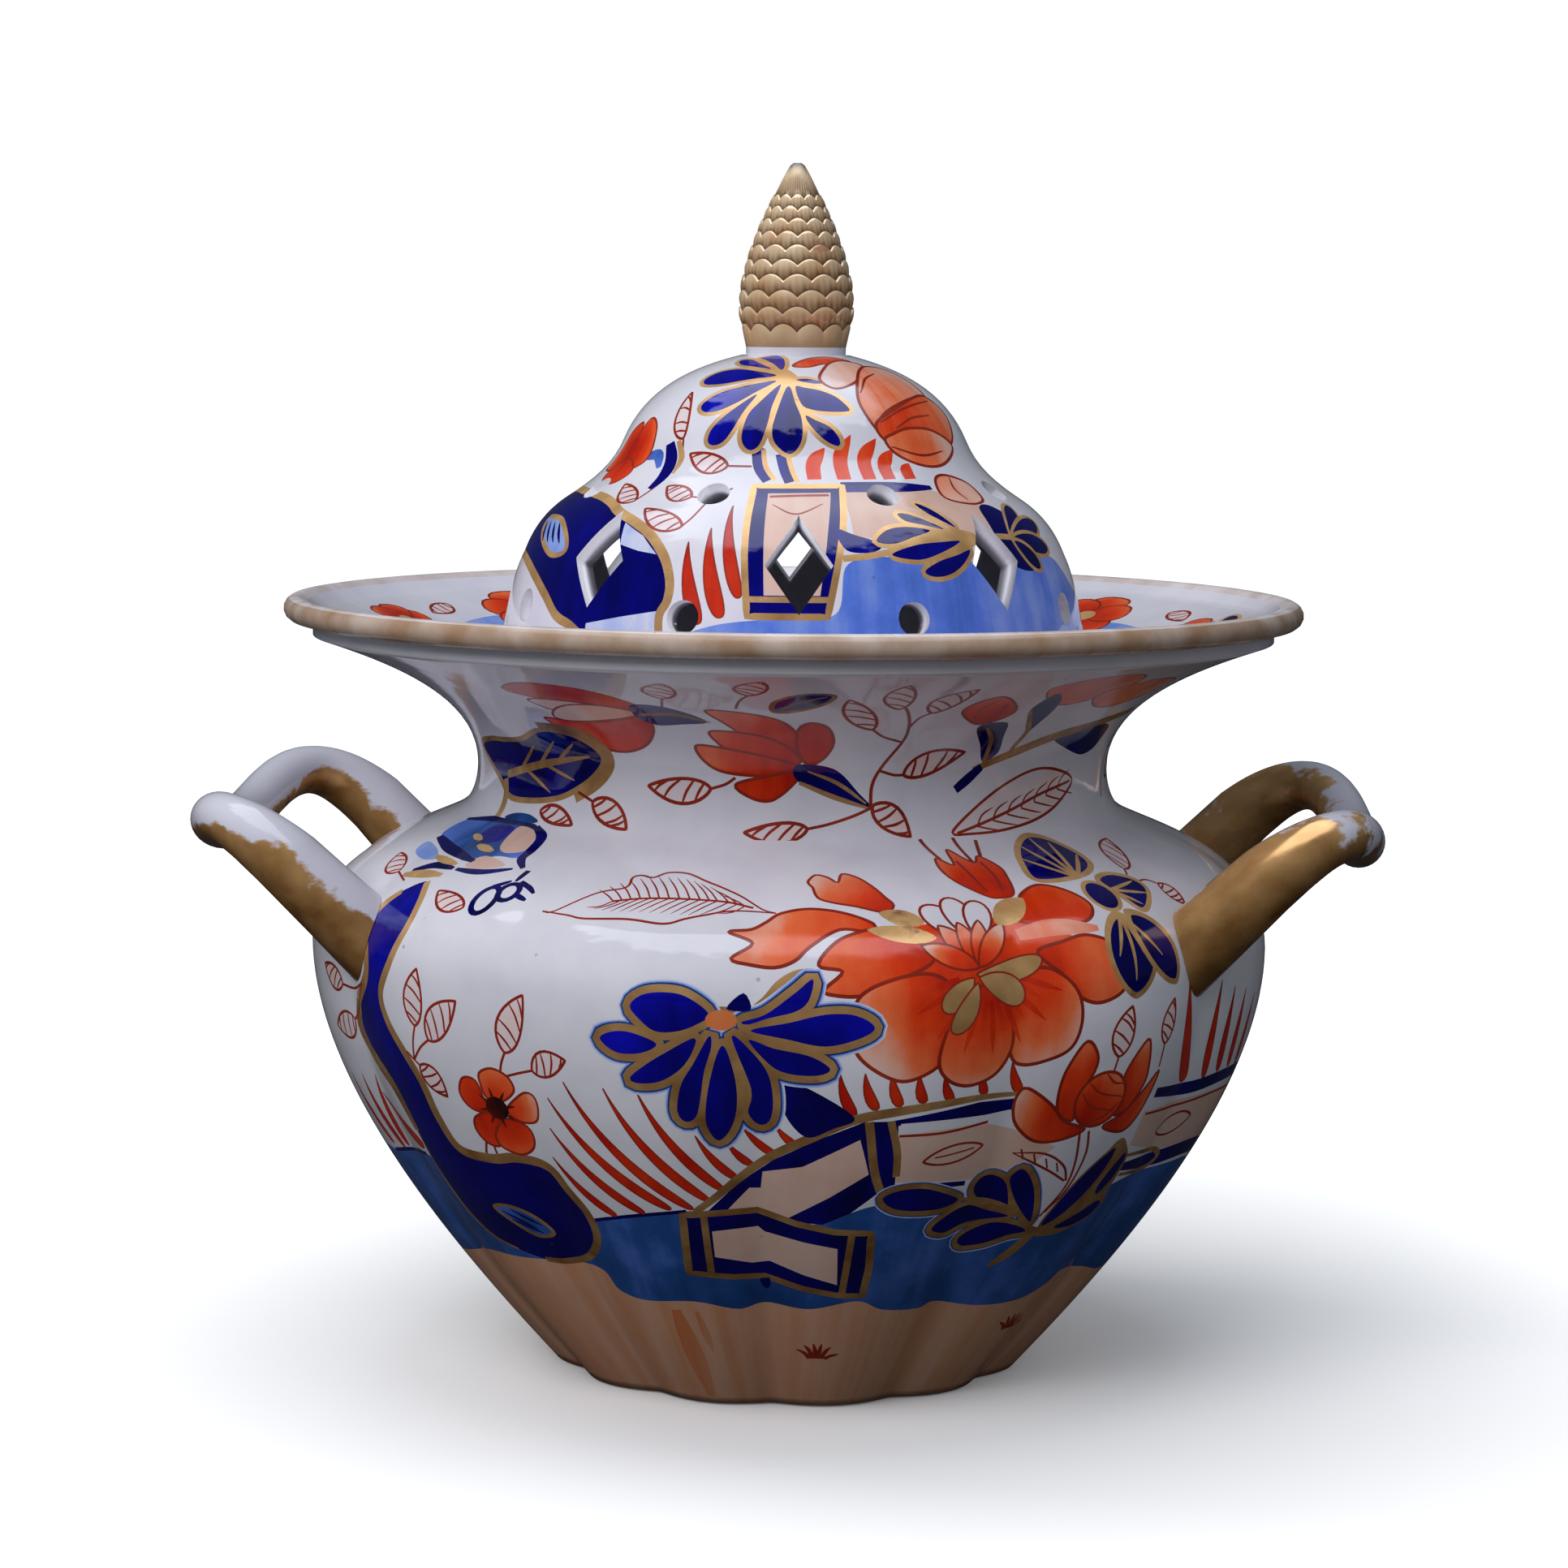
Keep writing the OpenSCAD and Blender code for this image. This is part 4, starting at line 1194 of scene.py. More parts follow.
        for points, tones in (
                ([(-61.4, 81.4), (-62.5, 85.7), (-65.7, 85.9), (-67.5, 82.5), (-66.1, 79.6), (-62.9, 78.6),
                  (-60, 79.8)], (0.0, 0.42)),
                ([(-58.9, 78.4), (-62.1, 78.6), (-65.4, 77.1), (-66.3, 74.3), (-64.6, 71.4), (-61.4, 70.9),
                  (-59.6, 74.3)], (0.0, 0.34)),
                ([(-56.1, 77.8), (-52.5, 76.4), (-51.6, 73.9), (-52.9, 71.1), (-56.4, 69.4), (-60.7, 70.7),
                  (-61.4, 73.6), (-58.6, 77)], (0.05, 0.5)),
                ([(-56, 80.6), (-51.4, 84.1), (-48.6, 83.9), (-48, 81.4), (-49.3, 78.2), (-52.9, 77.3),
                  (-55.9, 78.6)], (0.3, 0.8)),
                ([(-60.6, 82), (-61.4, 85), (-61.1, 87.5), (-57.9, 88.8), (-54.6, 87.5), (-53.4, 85), (-54.6, 83.2),
                  (-57.4, 81.6)], (0.3, 0.82))):
            brush.flesh(spline(points, True, 0.9), centre, 10.5, tones, 0.55)
        for degrees in range(10, 370, 45):
            start, end = (tuple(centre + along(degrees, r)) for r in (2.2, 4.6))
            brush.stroke([start, end], 0.6, Paint.LINE, (1.0, 0.3), (1.0, 0.5))
        brush.fill(ellipse(centre, 2.7, 2.6), Paint.LINE, tones=(0.95, 0.95))

    def grass(self, brush: Brush) -> None:
        """The flames of red grass."""
        for base, tip, width in (
                ((-34.5, 57), (-47.7, 70), 2.3), ((-27, 58.5), (-46, 77), 2.5), ((-20.5, 60), (-44.7, 84), 2.7),
                ((-15.5, 60.3), (-40, 88), 2.7), ((-11.5, 62.5), (-31, 87.6), 2.6), ((-8, 65.2), (-24, 87.5), 2.5),
                ((-5, 68.2), (-13, 78.3), 2.1), ((-1.7, 71.6), (-6.7, 77), 1.9), ((3.5, 74), (-3.5, 80.8), 1.9),
                ((8, 76.2), (3.3, 81), 1.8), ((19, 83.4), (15.8, 92.3), 2.4), ((23.3, 84.6), (20.6, 92.3), 2.4),
                ((28, 85.2), (25.8, 92.3), 2.4), ((32.8, 85.7), (31.3, 91.8), 2.4), ((38.7, 85.7), (36.5, 91), 2.2),
                ((46, 86.5), (44.8, 91.4), 2.2), ((54.3, 86.3), (51.5, 93), 2.4), ((105, 82.5), (97.6, 105.4), 4.8),
                ((113.2, 82), (111.6, 103), 2.9), ((119, 82.6), (117.3, 101), 2.8), ((124.5, 82.8), (123, 100), 2.7),
                ((130, 82.5), (129.5, 98), 2.7), ((-107, 63), (-106, 80), 2.8), ((-110, 62), (-113.4, 79), 2.8),
                ((-116, 62), (-121, 78), 2.8), ((-91, 66), (-106, 76), 4.4)):
            brush.blade(base, tip, width)

    def fence(self, brush: Brush) -> None:
        """The garden fence: two slanting panels, their posts and the low panel in front."""
        brush.panel([
            (-12, 60), (-5, 67), (3, 73), (12, 78), (21, 82), (26, 82), (45, 85), (54, 85), (54, 82), (28, 81),
            (29, 67), (46, 66.6), (46, 65.4), (30, 65.4), (25, 64.6), (20, 60), (14, 57), (5, 57.5), (-2, 60)],
            Paint.COBALT)
        brush.panel([
            (-7.5, 60.5), (-2.5, 66), (0, 66), (0.5, 70), (9, 71.5), (20.5, 78), (23, 69.8), (15, 64), (6, 58.4),
            (-1, 60.5)], Paint.SALMON)
        brush.panel([(28.5, 81.4), (47, 82), (53, 82.6), (56, 79), (47, 80), (28.4, 78.6)], Paint.GLAZE)
        brush.panel([(28.4, 78.8), (47, 80.2), (55, 78), (66, 73), (60, 68), (47, 66.8), (29, 67.6)], Paint.SALMON)
        brush.stroke([(28.4, 78.6), (38, 78.8), (48, 80.4)], 0.6, Paint.LINE)
        brush.edge(brush.petal((34.5, 72.2), (48, 75), 4.2, 0.0, 0.8, 0.8), 0.55, Paint.LINE)
        brush.stroke([(37, 73), (41, 73.6), (46, 74.6)], 0.4, Paint.LINE)
        brush.stroke([(-15, 59.6), (-10, 63.5), (-5, 68), (2, 73.5), (10, 78), (19, 82.4), (27, 84), (35, 85),
                      (45, 86), (55, 86)], 2.1, Paint.GILT, (0.7, 0.4))
        brush.stroke([(22, 82), (24, 71), (26.3, 64.6)], 1.7, Paint.GILT)
        brush.stroke([(26.4, 82), (28.4, 75), (29, 69)], 1.5, Paint.GILT)
        low = polygon([(-18, 58.6), (-1, 60.3), (8, 57), (17, 55), (25.5, 54.5), (26.5, 45), (26.3, 36.6),
                       (20, 36.8), (10, 38.7), (0, 42), (-8, 41.7), (-19.3, 42.6)])
        brush.fill(low, Paint.COBALT)
        brush.panel([
            (-11.8, 54.5), (-1, 56), (0.5, 54.6), (10, 52), (18, 50.4), (19, 40), (10, 42.8), (1.5, 46.4), (-3, 45.8),
            (-12, 47.4)], Paint.SALMON)
        brush.edge(low, 1.6, Paint.GILT)
        brush.strokes(([(-13.2, 59), (-13.6, 42.2)], [(21, 54.6), (20.6, 37)]), 1.4, Paint.GILT)
        brush.stroke([(0, 41.4), (0.6, 38.2)], 2.0, Paint.COBALT, (1.0, 0.2))

    def palm(self, brush: Brush) -> None:
        """The blue palm leaf in gilt outlines at the middle of the front."""
        brush.blob([(5, 90), (10, 89), (19, 83), (15, 80.5), (9.5, 78.5), (5, 84)], Paint.COBALT)
        crest = [(-2, 103.4), (1, 107), (4, 110.4), (8, 112.4), (12, 112), (11.4, 108.6), (10.4, 105)]
        middle = [(-17, 98.8), (-14, 93.5), (-11.6, 88.5), (-7.5, 86.5), (-2.5, 88), (2, 91.5), (6, 95.5), (6, 103),
                  (0, 104.6), (-6, 105), (-12, 104.6)]
        for area in (crest, middle):
            brush.blob(area, Paint.GILT, tones=(0.3, 0.3))
        brush.leaves((
            [(-24.4, 104.6), (-22.1, 106.8), (-17.9, 107.5), (-13.6, 106.8), (-9.3, 103.6), (-11.8, 101.4),
             (-15.7, 100), (-19.6, 100), (-22.5, 102.1)],
            [(-30.7, 97.9), (-28.2, 99.4), (-24.3, 99.5), (-19.3, 97.5), (-22.5, 95.5), (-27.5, 95.4)],
            [(-25, 90.4), (-22.1, 92.9), (-17.9, 95.7), (-12.1, 98.9), (-12.5, 96.1), (-15, 92.5), (-19.3, 89.8),
             (-23.9, 89.3)],
            [(-9.3, 99.3), (-12.5, 93.6), (-15, 89.3), (-16.1, 83.6), (-14.6, 81.4), (-12.5, 82.5), (-11.4, 86.4),
             (-10.4, 92.1), (-8.9, 97.1)],
            [(-6.8, 97.5), (-9.3, 90.7), (-10.6, 82.9), (-10, 79.3), (-8.2, 77.3), (-5.7, 80), (-4.3, 85),
             (-4.6, 91.4)],
            [(-5, 99.3), (-1.4, 88.6), (-2.1, 83.6), (0, 81), (2.1, 81.8), (2.9, 85.7), (2.1, 91.4), (-0.7, 95.7)],
            [(-1.8, 98.6), (2.9, 97.1), (10, 95.7), (13.9, 93.2), (11.4, 91.8), (5.7, 92.1), (2.1, 93.9)],
            [(-1.4, 100.4), (5.7, 102.1), (12.9, 103.9), (18.6, 103.7), (22.1, 101.4), (19.3, 99.3), (12.9, 97.7),
             (5.7, 98.9)],
            [(-3.2, 102.1), (1.4, 103.6), (7.1, 107.9), (10.4, 110.5), (9.6, 106.4), (7.1, 104.3), (2.1, 102.9),
             (-1.8, 101.6)]),
            1.5, 1.4, (-7, 72), 38, (0.1, 0.9))
        brush.blob([(-6, 104.6), (-2.8, 107.6), (-1.4, 104.4)], Paint.COBALT)
        brush.fill(ellipse((-7, 102.4), 3.0, 2.0), Paint.GROUND, tones=(1.0, 1.0))

    def peony(self, brush: Brush) -> None:
        """The great peony: outer petals, crown, gilt stamens and two buds."""
        heart = (45.0, 112.0)
        brush.strokes(([(46, 143), (43.5, 150)], [(54.5, 141), (54, 150)], [(58, 143), (61, 149)]), 0.8, Paint.LINE)
        bud = [(10, 135.3), (12, 138), (15, 137), (17, 135.2), (18.5, 138.4), (22, 137), (25, 133.5), (27, 130),
               (28.3, 127.5), (26, 125.5), (20, 127.3), (15, 128.5), (12, 130), (11, 133.5)]
        brush.flesh(spline(bud, True), (30, 124), 22, (0.1, 0.9))
        crest = [(51, 129), (46, 134), (44, 139), (45, 143.5), (48.5, 140.5), (50, 146.5), (54.5, 141),
                 (57.5, 143.5), (60.5, 139), (60, 135), (58, 129), (54, 128)]
        brush.flesh(spline(crest, True), (54, 128), 18, (0.05, 0.6))
        brush.strokes(([(52, 130), (51, 136), (50, 142)], [(56, 130), (57, 136), (56.5, 141)]), 0.6, Paint.LINE)
        brush.blob([
            (27, 106), (24, 112), (26, 120), (34, 122), (46, 123), (57, 121), (66, 119), (62, 112), (57, 107),
            (42, 103)], Paint.RED, heart, 26, (0.1, 0.42))
        outer = (
            ([(-6.5, 120), (-2, 120.6), (1, 122.5), (4, 125), (10, 126.5), (17, 125.5), (23, 122.5), (22, 120.5),
              (16, 121), (10, 117), (7, 114), (3, 112.5), (-2, 113), (-5.5, 114.2), (-1.5, 117.4)], (0.12, 0.75), 44),
            ([(56, 121), (58, 126), (60, 129), (66, 131.5), (72, 129), (75, 124), (70, 120)], (0.1, 0.45), 34),
            ([(57, 114), (63, 116), (70, 117), (77, 113), (76, 106), (70, 103.5), (65, 105), (62, 109)],
              (0.05, 0.7), 32),
            ([(11.5, 113.2), (15, 118), (20, 120.5), (24, 121), (30, 119), (34, 114), (26, 110), (20, 107.5),
              (14.5, 107.5), (12.5, 108.5), (16, 112)], (0.1, 0.62), 34),
            ([(19, 107), (26, 110.5), (34, 111), (39, 106), (38, 99), (36.5, 95), (33, 92), (28, 90.5), (23, 92.5),
              (19, 96), (18, 100)], (0.04, 0.92), 29),
            ([(50, 109), (58, 111), (64, 107), (65.8, 101), (64, 95), (58, 92.5), (53, 92.3), (50.5, 95), (48, 103)],
              (0.04, 0.92), 24),
            ([(38, 104), (44, 108.6), (49, 105), (51, 97), (48, 91), (42, 88.8), (37, 90.5), (35, 95)],
              (0.02, 0.86), 24))
        for points, tones, reach in outer:
            brush.flesh(spline(points, True), heart, reach, tones, 0.75)
        for i, degrees in enumerate(range(198, 350, 11)):
            start, end = (tuple(heart + along(degrees, r)) for r in (6.5, 13.0 + 4.0 * (i % 2)))
            brush.stroke([start, end], 1.3, Paint.RED, (0.7, 0.15), (0.0, 0.16))
        brush.stroke([(54, 118), (63, 119.4), (73, 118.4)], 4.0, Paint.RED, (0.6, 0.3), (0.5, 0.62))
        for base, tip, width in (
                ((44, 118), (34, 126.5), 6.5), ((44, 118), (40.5, 129), 6.5), ((45, 118), (47.5, 127.6), 6.5)):
            brush.inked(brush.petal(base, tip, width, 0.0, 0.7, 0.5), 0.6, Paint.GLAZE)
        for tip, width in (
                ((36.5, 121.5), 4.5), ((41, 122), 4.0), ((46, 122.2), 4.0), ((51.5, 121), 4.5), ((32, 117), 4.4)):
            brush.flesh(brush.petal((43.5, 112), tip, width, 0.0, 0.8, 0.8), (43, 111), 11, (0.15, 1.0), 0.5)
        for base, tip, width in (((33.8, 122.4), (24.5, 125.4), 4.4), ((35.5, 118.6), (21.5, 121), 4.0),
                                 ((50, 121), (59.5, 127.6), 6.0)):
            brush.fill(brush.petal(base, tip, width, 0.0, 0.7, 0.8), Paint.GILT, base, 20, (0.2, 0.8))
        for base, tip, width, bend in (
                ((42.6, 110.6), (57.6, 112.8), 4.4, -0.06), ((43.2, 110), (53, 105), 5.6, 0.05),
                ((42, 110), (35.4, 104), 4.6, 0.0), ((42.8, 109), (37.6, 99.6), 4.4, 0.05)):
            brush.inked(brush.petal(base, tip, width, bend, 0.8, 0.5), 0.4, Paint.GILT)

    def shoulder_leaves(self, brush: Brush) -> None:
        """The blue and gilt leaves on the right of the shoulder."""
        brush.rim_of([(67, 133), (68, 140), (73, 146), (80, 149), (87, 147), (90, 141), (88, 136), (80, 133)],
                     Paint.COBALT, 1.4)
        for end in ((69.5, 141), (74, 145.6), (80, 148), (85, 146), (88.6, 140.5)):
            brush.stroke([(79, 132.6), end], 1.0, Paint.GILT, (1.0, 0.4))
        brush.rim_of([
            (84, 131), (90, 132.6), (96, 130), (97.6, 126.5), (94, 123), (89, 121), (86, 125)], Paint.COBALT, 1.3)
        for end in ((95, 129), (95.6, 125), (90.6, 122.4)):
            brush.stroke([(84.5, 127.6), end], 0.9, Paint.GILT, (1.0, 0.3))
        for base, tip, width in (((80, 122), (79, 104.6), 11), ((83, 122), (91.5, 106), 8.0)):
            brush.gilded(base, tip, width, 0.7, 0.7, 1.3)
        for end in ((75.6, 112), (79, 107), (82.4, 112), (88, 111)):
            brush.stroke([(80.5, 121), end], 0.9, Paint.GILT, (1.0, 0.3))
        knot = ellipse((80.5, 126.5), 4.2, 4.4)
        brush.fill(knot, Paint.COBALT)
        brush.edge(knot, 1.0, Paint.GILT)
        upper = [(-49, 122.3), (-46, 122.6), (-38, 129), (-32, 131.5), (-32, 135), (-30, 136), (-27, 135.4),
                 (-24, 137.5), (-19, 137.5), (-14, 135), (-10, 133), (-5, 130), (0, 126), (3, 125)]
        lower = [(3, 125), (-6, 125.5), (-12, 124.2), (-16, 123), (-20, 121.6), (-28, 122.3), (-38, 121.6),
                 (-42, 122), (-49, 122.3)]
        brush.strokes((upper, lower), 0.6, Paint.LINE, (0.6, 0.6))
        rib = spline([(-2, 126.4), (-10, 128.4), (-25, 128.5), (-37, 126)])
        brush.stroke([tuple(p) for p in rib[::6]], 0.6, Paint.LINE)
        for i, (x, y) in enumerate(rib[2:-3:2]):
            rise = 6.2 * math.sin(math.pi * min(1.0, (i + 2) / 18)) + 1.0
            brush.strokes((
                [(x, y), (x - 2.0, y + 0.5 * rise), (x - 5.0, y + rise)],
                [(x, y), (x - 2.4, y - 1.8), (x - 5.4, y - min(4.4, 0.75 * rise))]), 0.35, Paint.LINE, (1.0, 0.3))

    def far_panel(self, brush: Brush) -> None:
        """The fence that goes on past the right of the front."""
        brush.panel([(90, 78), (135, 78), (135, 65), (108, 66), (90, 70)], Paint.SALMON)
        brush.stroke([(92, 82), (108, 80.5), (122, 81), (135, 81)], 3.0, Paint.COBALT, (0.7, 1.0))
        brush.stroke([(91, 77.3), (106, 76.8), (122, 77.4), (135, 77)], 0.6, Paint.LINE)
        brush.edge(brush.petal((102, 71.3), (115, 73), 5.0, 0.0, 0.8, 0.8), 0.55, Paint.LINE)
        brush.stroke([(91, 64.6), (106, 63.6), (122, 64), (135, 63)], 4.0, Paint.COBALT, (0.5, 1.0))
        brush.stroke([
            (90, 67.5), (100, 66.8), (107, 66), (109.5, 63.6), (105, 61.4), (92, 62.4)], 1.3, Paint.GILT, (0.6, 0.6))
        brush.stroke([(134, 61.4), (134, 82.6)], 3.0, Paint.COBALT)
        brush.stroke([(136, 61), (136, 83)], 1.4, Paint.GILT)
        for base, tip in (
                ((144, 84), (140, 95)), ((148, 89), (153, 100)), ((150, 74), (154, 84)), ((-148, 84), (-152, 95)),
                ((-144, 91), (-139, 102))):
            brush.leaf(base, tip, 6.0)
        brush.strokes((
            [(139, 76), (144, 84), (148, 89)], [(142, 66), (146, 70), (150, 74)],
            [(-150, 76), (-148, 84), (-144, 91)]), 0.7, Paint.LINE)

    def cluster(self, brush: Brush) -> None:
        """The spray of blue leaves in front of the fence, on a gilt stem."""
        brush.leaves((
            [(26.8, 63.6), (30, 65.4), (35.7, 65.6), (41.4, 63.9), (45.4, 61.8), (41.4, 60), (34.3, 60),
             (29.3, 61.1)],
            [(48.9, 64.3), (50, 66.8), (52.9, 67.3), (56.4, 65.4), (58.6, 61.4), (59.3, 58.2), (55.7, 59.3),
             (50.7, 61.8)],
            [(57.5, 65.7), (58.6, 67.9), (60.4, 67.9), (63.6, 64.3), (66.1, 59.3), (67.5, 53.9), (64.3, 56.4),
             (60.4, 60.7)],
            [(40.4, 54.6), (43.6, 57.9), (48.6, 60), (54.3, 58.2), (60.7, 56.1), (54.3, 55.7), (48.6, 55),
             (44.3, 53.2)],
            [(49.3, 50.7), (52.1, 52.9), (57.1, 54.6), (62.9, 53.6), (67.5, 51.4), (62.9, 50.7), (57.1, 48.9),
             (51.4, 48.6)]),
            1.3, 0.8)
        brush.stroke([(69, 51.6), (62, 57), (54, 60.6), (46, 62)], 1.2, Paint.GILT, (1.0, 0.6))
        brush.blob([
            (70.5, 50), (73, 57), (78, 65), (84.5, 72.5), (89, 70), (91.6, 66), (90.6, 59), (91, 54.6), (80, 49.6)],
            Paint.GILT, tones=(0.6, 0.6))
        brush.leaves((
            [(71.4, 52.5), (73.6, 58.9), (77.5, 65), (82, 69.3), (84.6, 70.3), (84, 66), (81, 60), (76, 54.5)],
            [(84.5, 60.5), (86.5, 65), (89.5, 68.5), (90.6, 66), (89, 61.5), (86, 58.5)],
            [(76, 51.3), (82, 54), (88, 56.5), (90.2, 55), (88, 52.6), (82, 50.8)]), 0.6, 0.0)
        brush.stroke([(70.4, 52), (66.4, 46), (61.6, 42)], 2.6, Paint.GILT, (1.0, 0.4))

    def rosebud(self, brush: Brush) -> None:
        """The rosebud on the right, on two thin stems."""
        heart = (74.0, 80.0)
        brush.strokes((
            [(71, 76), (73, 68), (73, 62), (69.5, 55)], [(73.4, 76), (75, 70), (74, 62), (70.4, 56)]), 0.6,
            Paint.LINE)
        brush.strokes((
            [(72.5, 64), (70, 68), (64, 71.5), (56, 72.4)], [(72, 64), (66, 67.4), (56, 72.4)]), 0.55, Paint.LINE,
            (1.0, 0.4))
        for x in (59, 62.4, 65.8, 69):
            brush.stroke([(x, 70.6 - 0.4 * (x - 59)), (x - 1.2, 73.2 - 0.42 * (x - 59))], 0.4, Paint.LINE)
        for points in (
                [(54, 86), (56, 87), (62, 83), (66, 79), (72, 76.5), (66, 74.5), (60, 75), (55, 79), (53.5, 83)],
                [(77, 76.5), (84, 74.5), (88, 78), (90.5, 87), (87, 84), (82, 79)],
                [(63, 86), (64, 91), (67.5, 96), (70.5, 93), (70.5, 89.5), (68, 84), (68, 79), (64, 81)],
                [(79, 88), (82, 93), (84.5, 94.5), (86, 89), (86, 85), (83, 80), (79, 79), (80, 84)]):
            brush.flesh(spline(points, True), heart, 21, (0.0, 0.92), 0.7)
        brush.flesh(ellipse((74, 83), 6.4, 6.0), (72, 79), 12, (0.0, 0.8), 0.7)
        brush.strokes((
            [(68.6, 85), (72, 81.6), (78.4, 80)], [(70, 87), (73.6, 84.4), (80, 83)],
            [(71.4, 78), (76, 79), (79.6, 82)], [(74, 88.6), (76.6, 86.4), (79.6, 86)]), 0.55, Paint.LINE, (0.4, 0.4))


@dataclass
class FootDisc:
    """The disc that closes the foot, with the ring that the vase stands on.

    Attributes:
        disc_r: Radius of the disc inside the wall.
        plug_r: Radius of the plug in the ledge's opening.
        ring_r: Radius inside the foot ring.
        ledge_z: Height of the ledge.
        top: Height of the disc.
        recess: Depth inside the ring.
    """

    disc_r: float = 45.9
    plug_r: float = 39.9
    ring_r: float = 33.4
    ledge_z: float = 4.2
    top: float = 7.8
    recess: float = 1.6

    def build(self) -> Object:
        """Turns the disc."""
        bm = spun([
            (0, self.recess), (self.ring_r - self.recess, self.recess), (self.ring_r, 0.3), (self.ring_r + 0.5, 0),
            (self.plug_r - 0.5, 0), (self.plug_r, 0.4), (self.plug_r, self.ledge_z), (self.disc_r, self.ledge_z),
            (self.disc_r, self.top), (0, self.top)], ROUND_STEPS)
        return piece(bm, "foot_disc", [paints()[0]], "vase", "foot_disc")


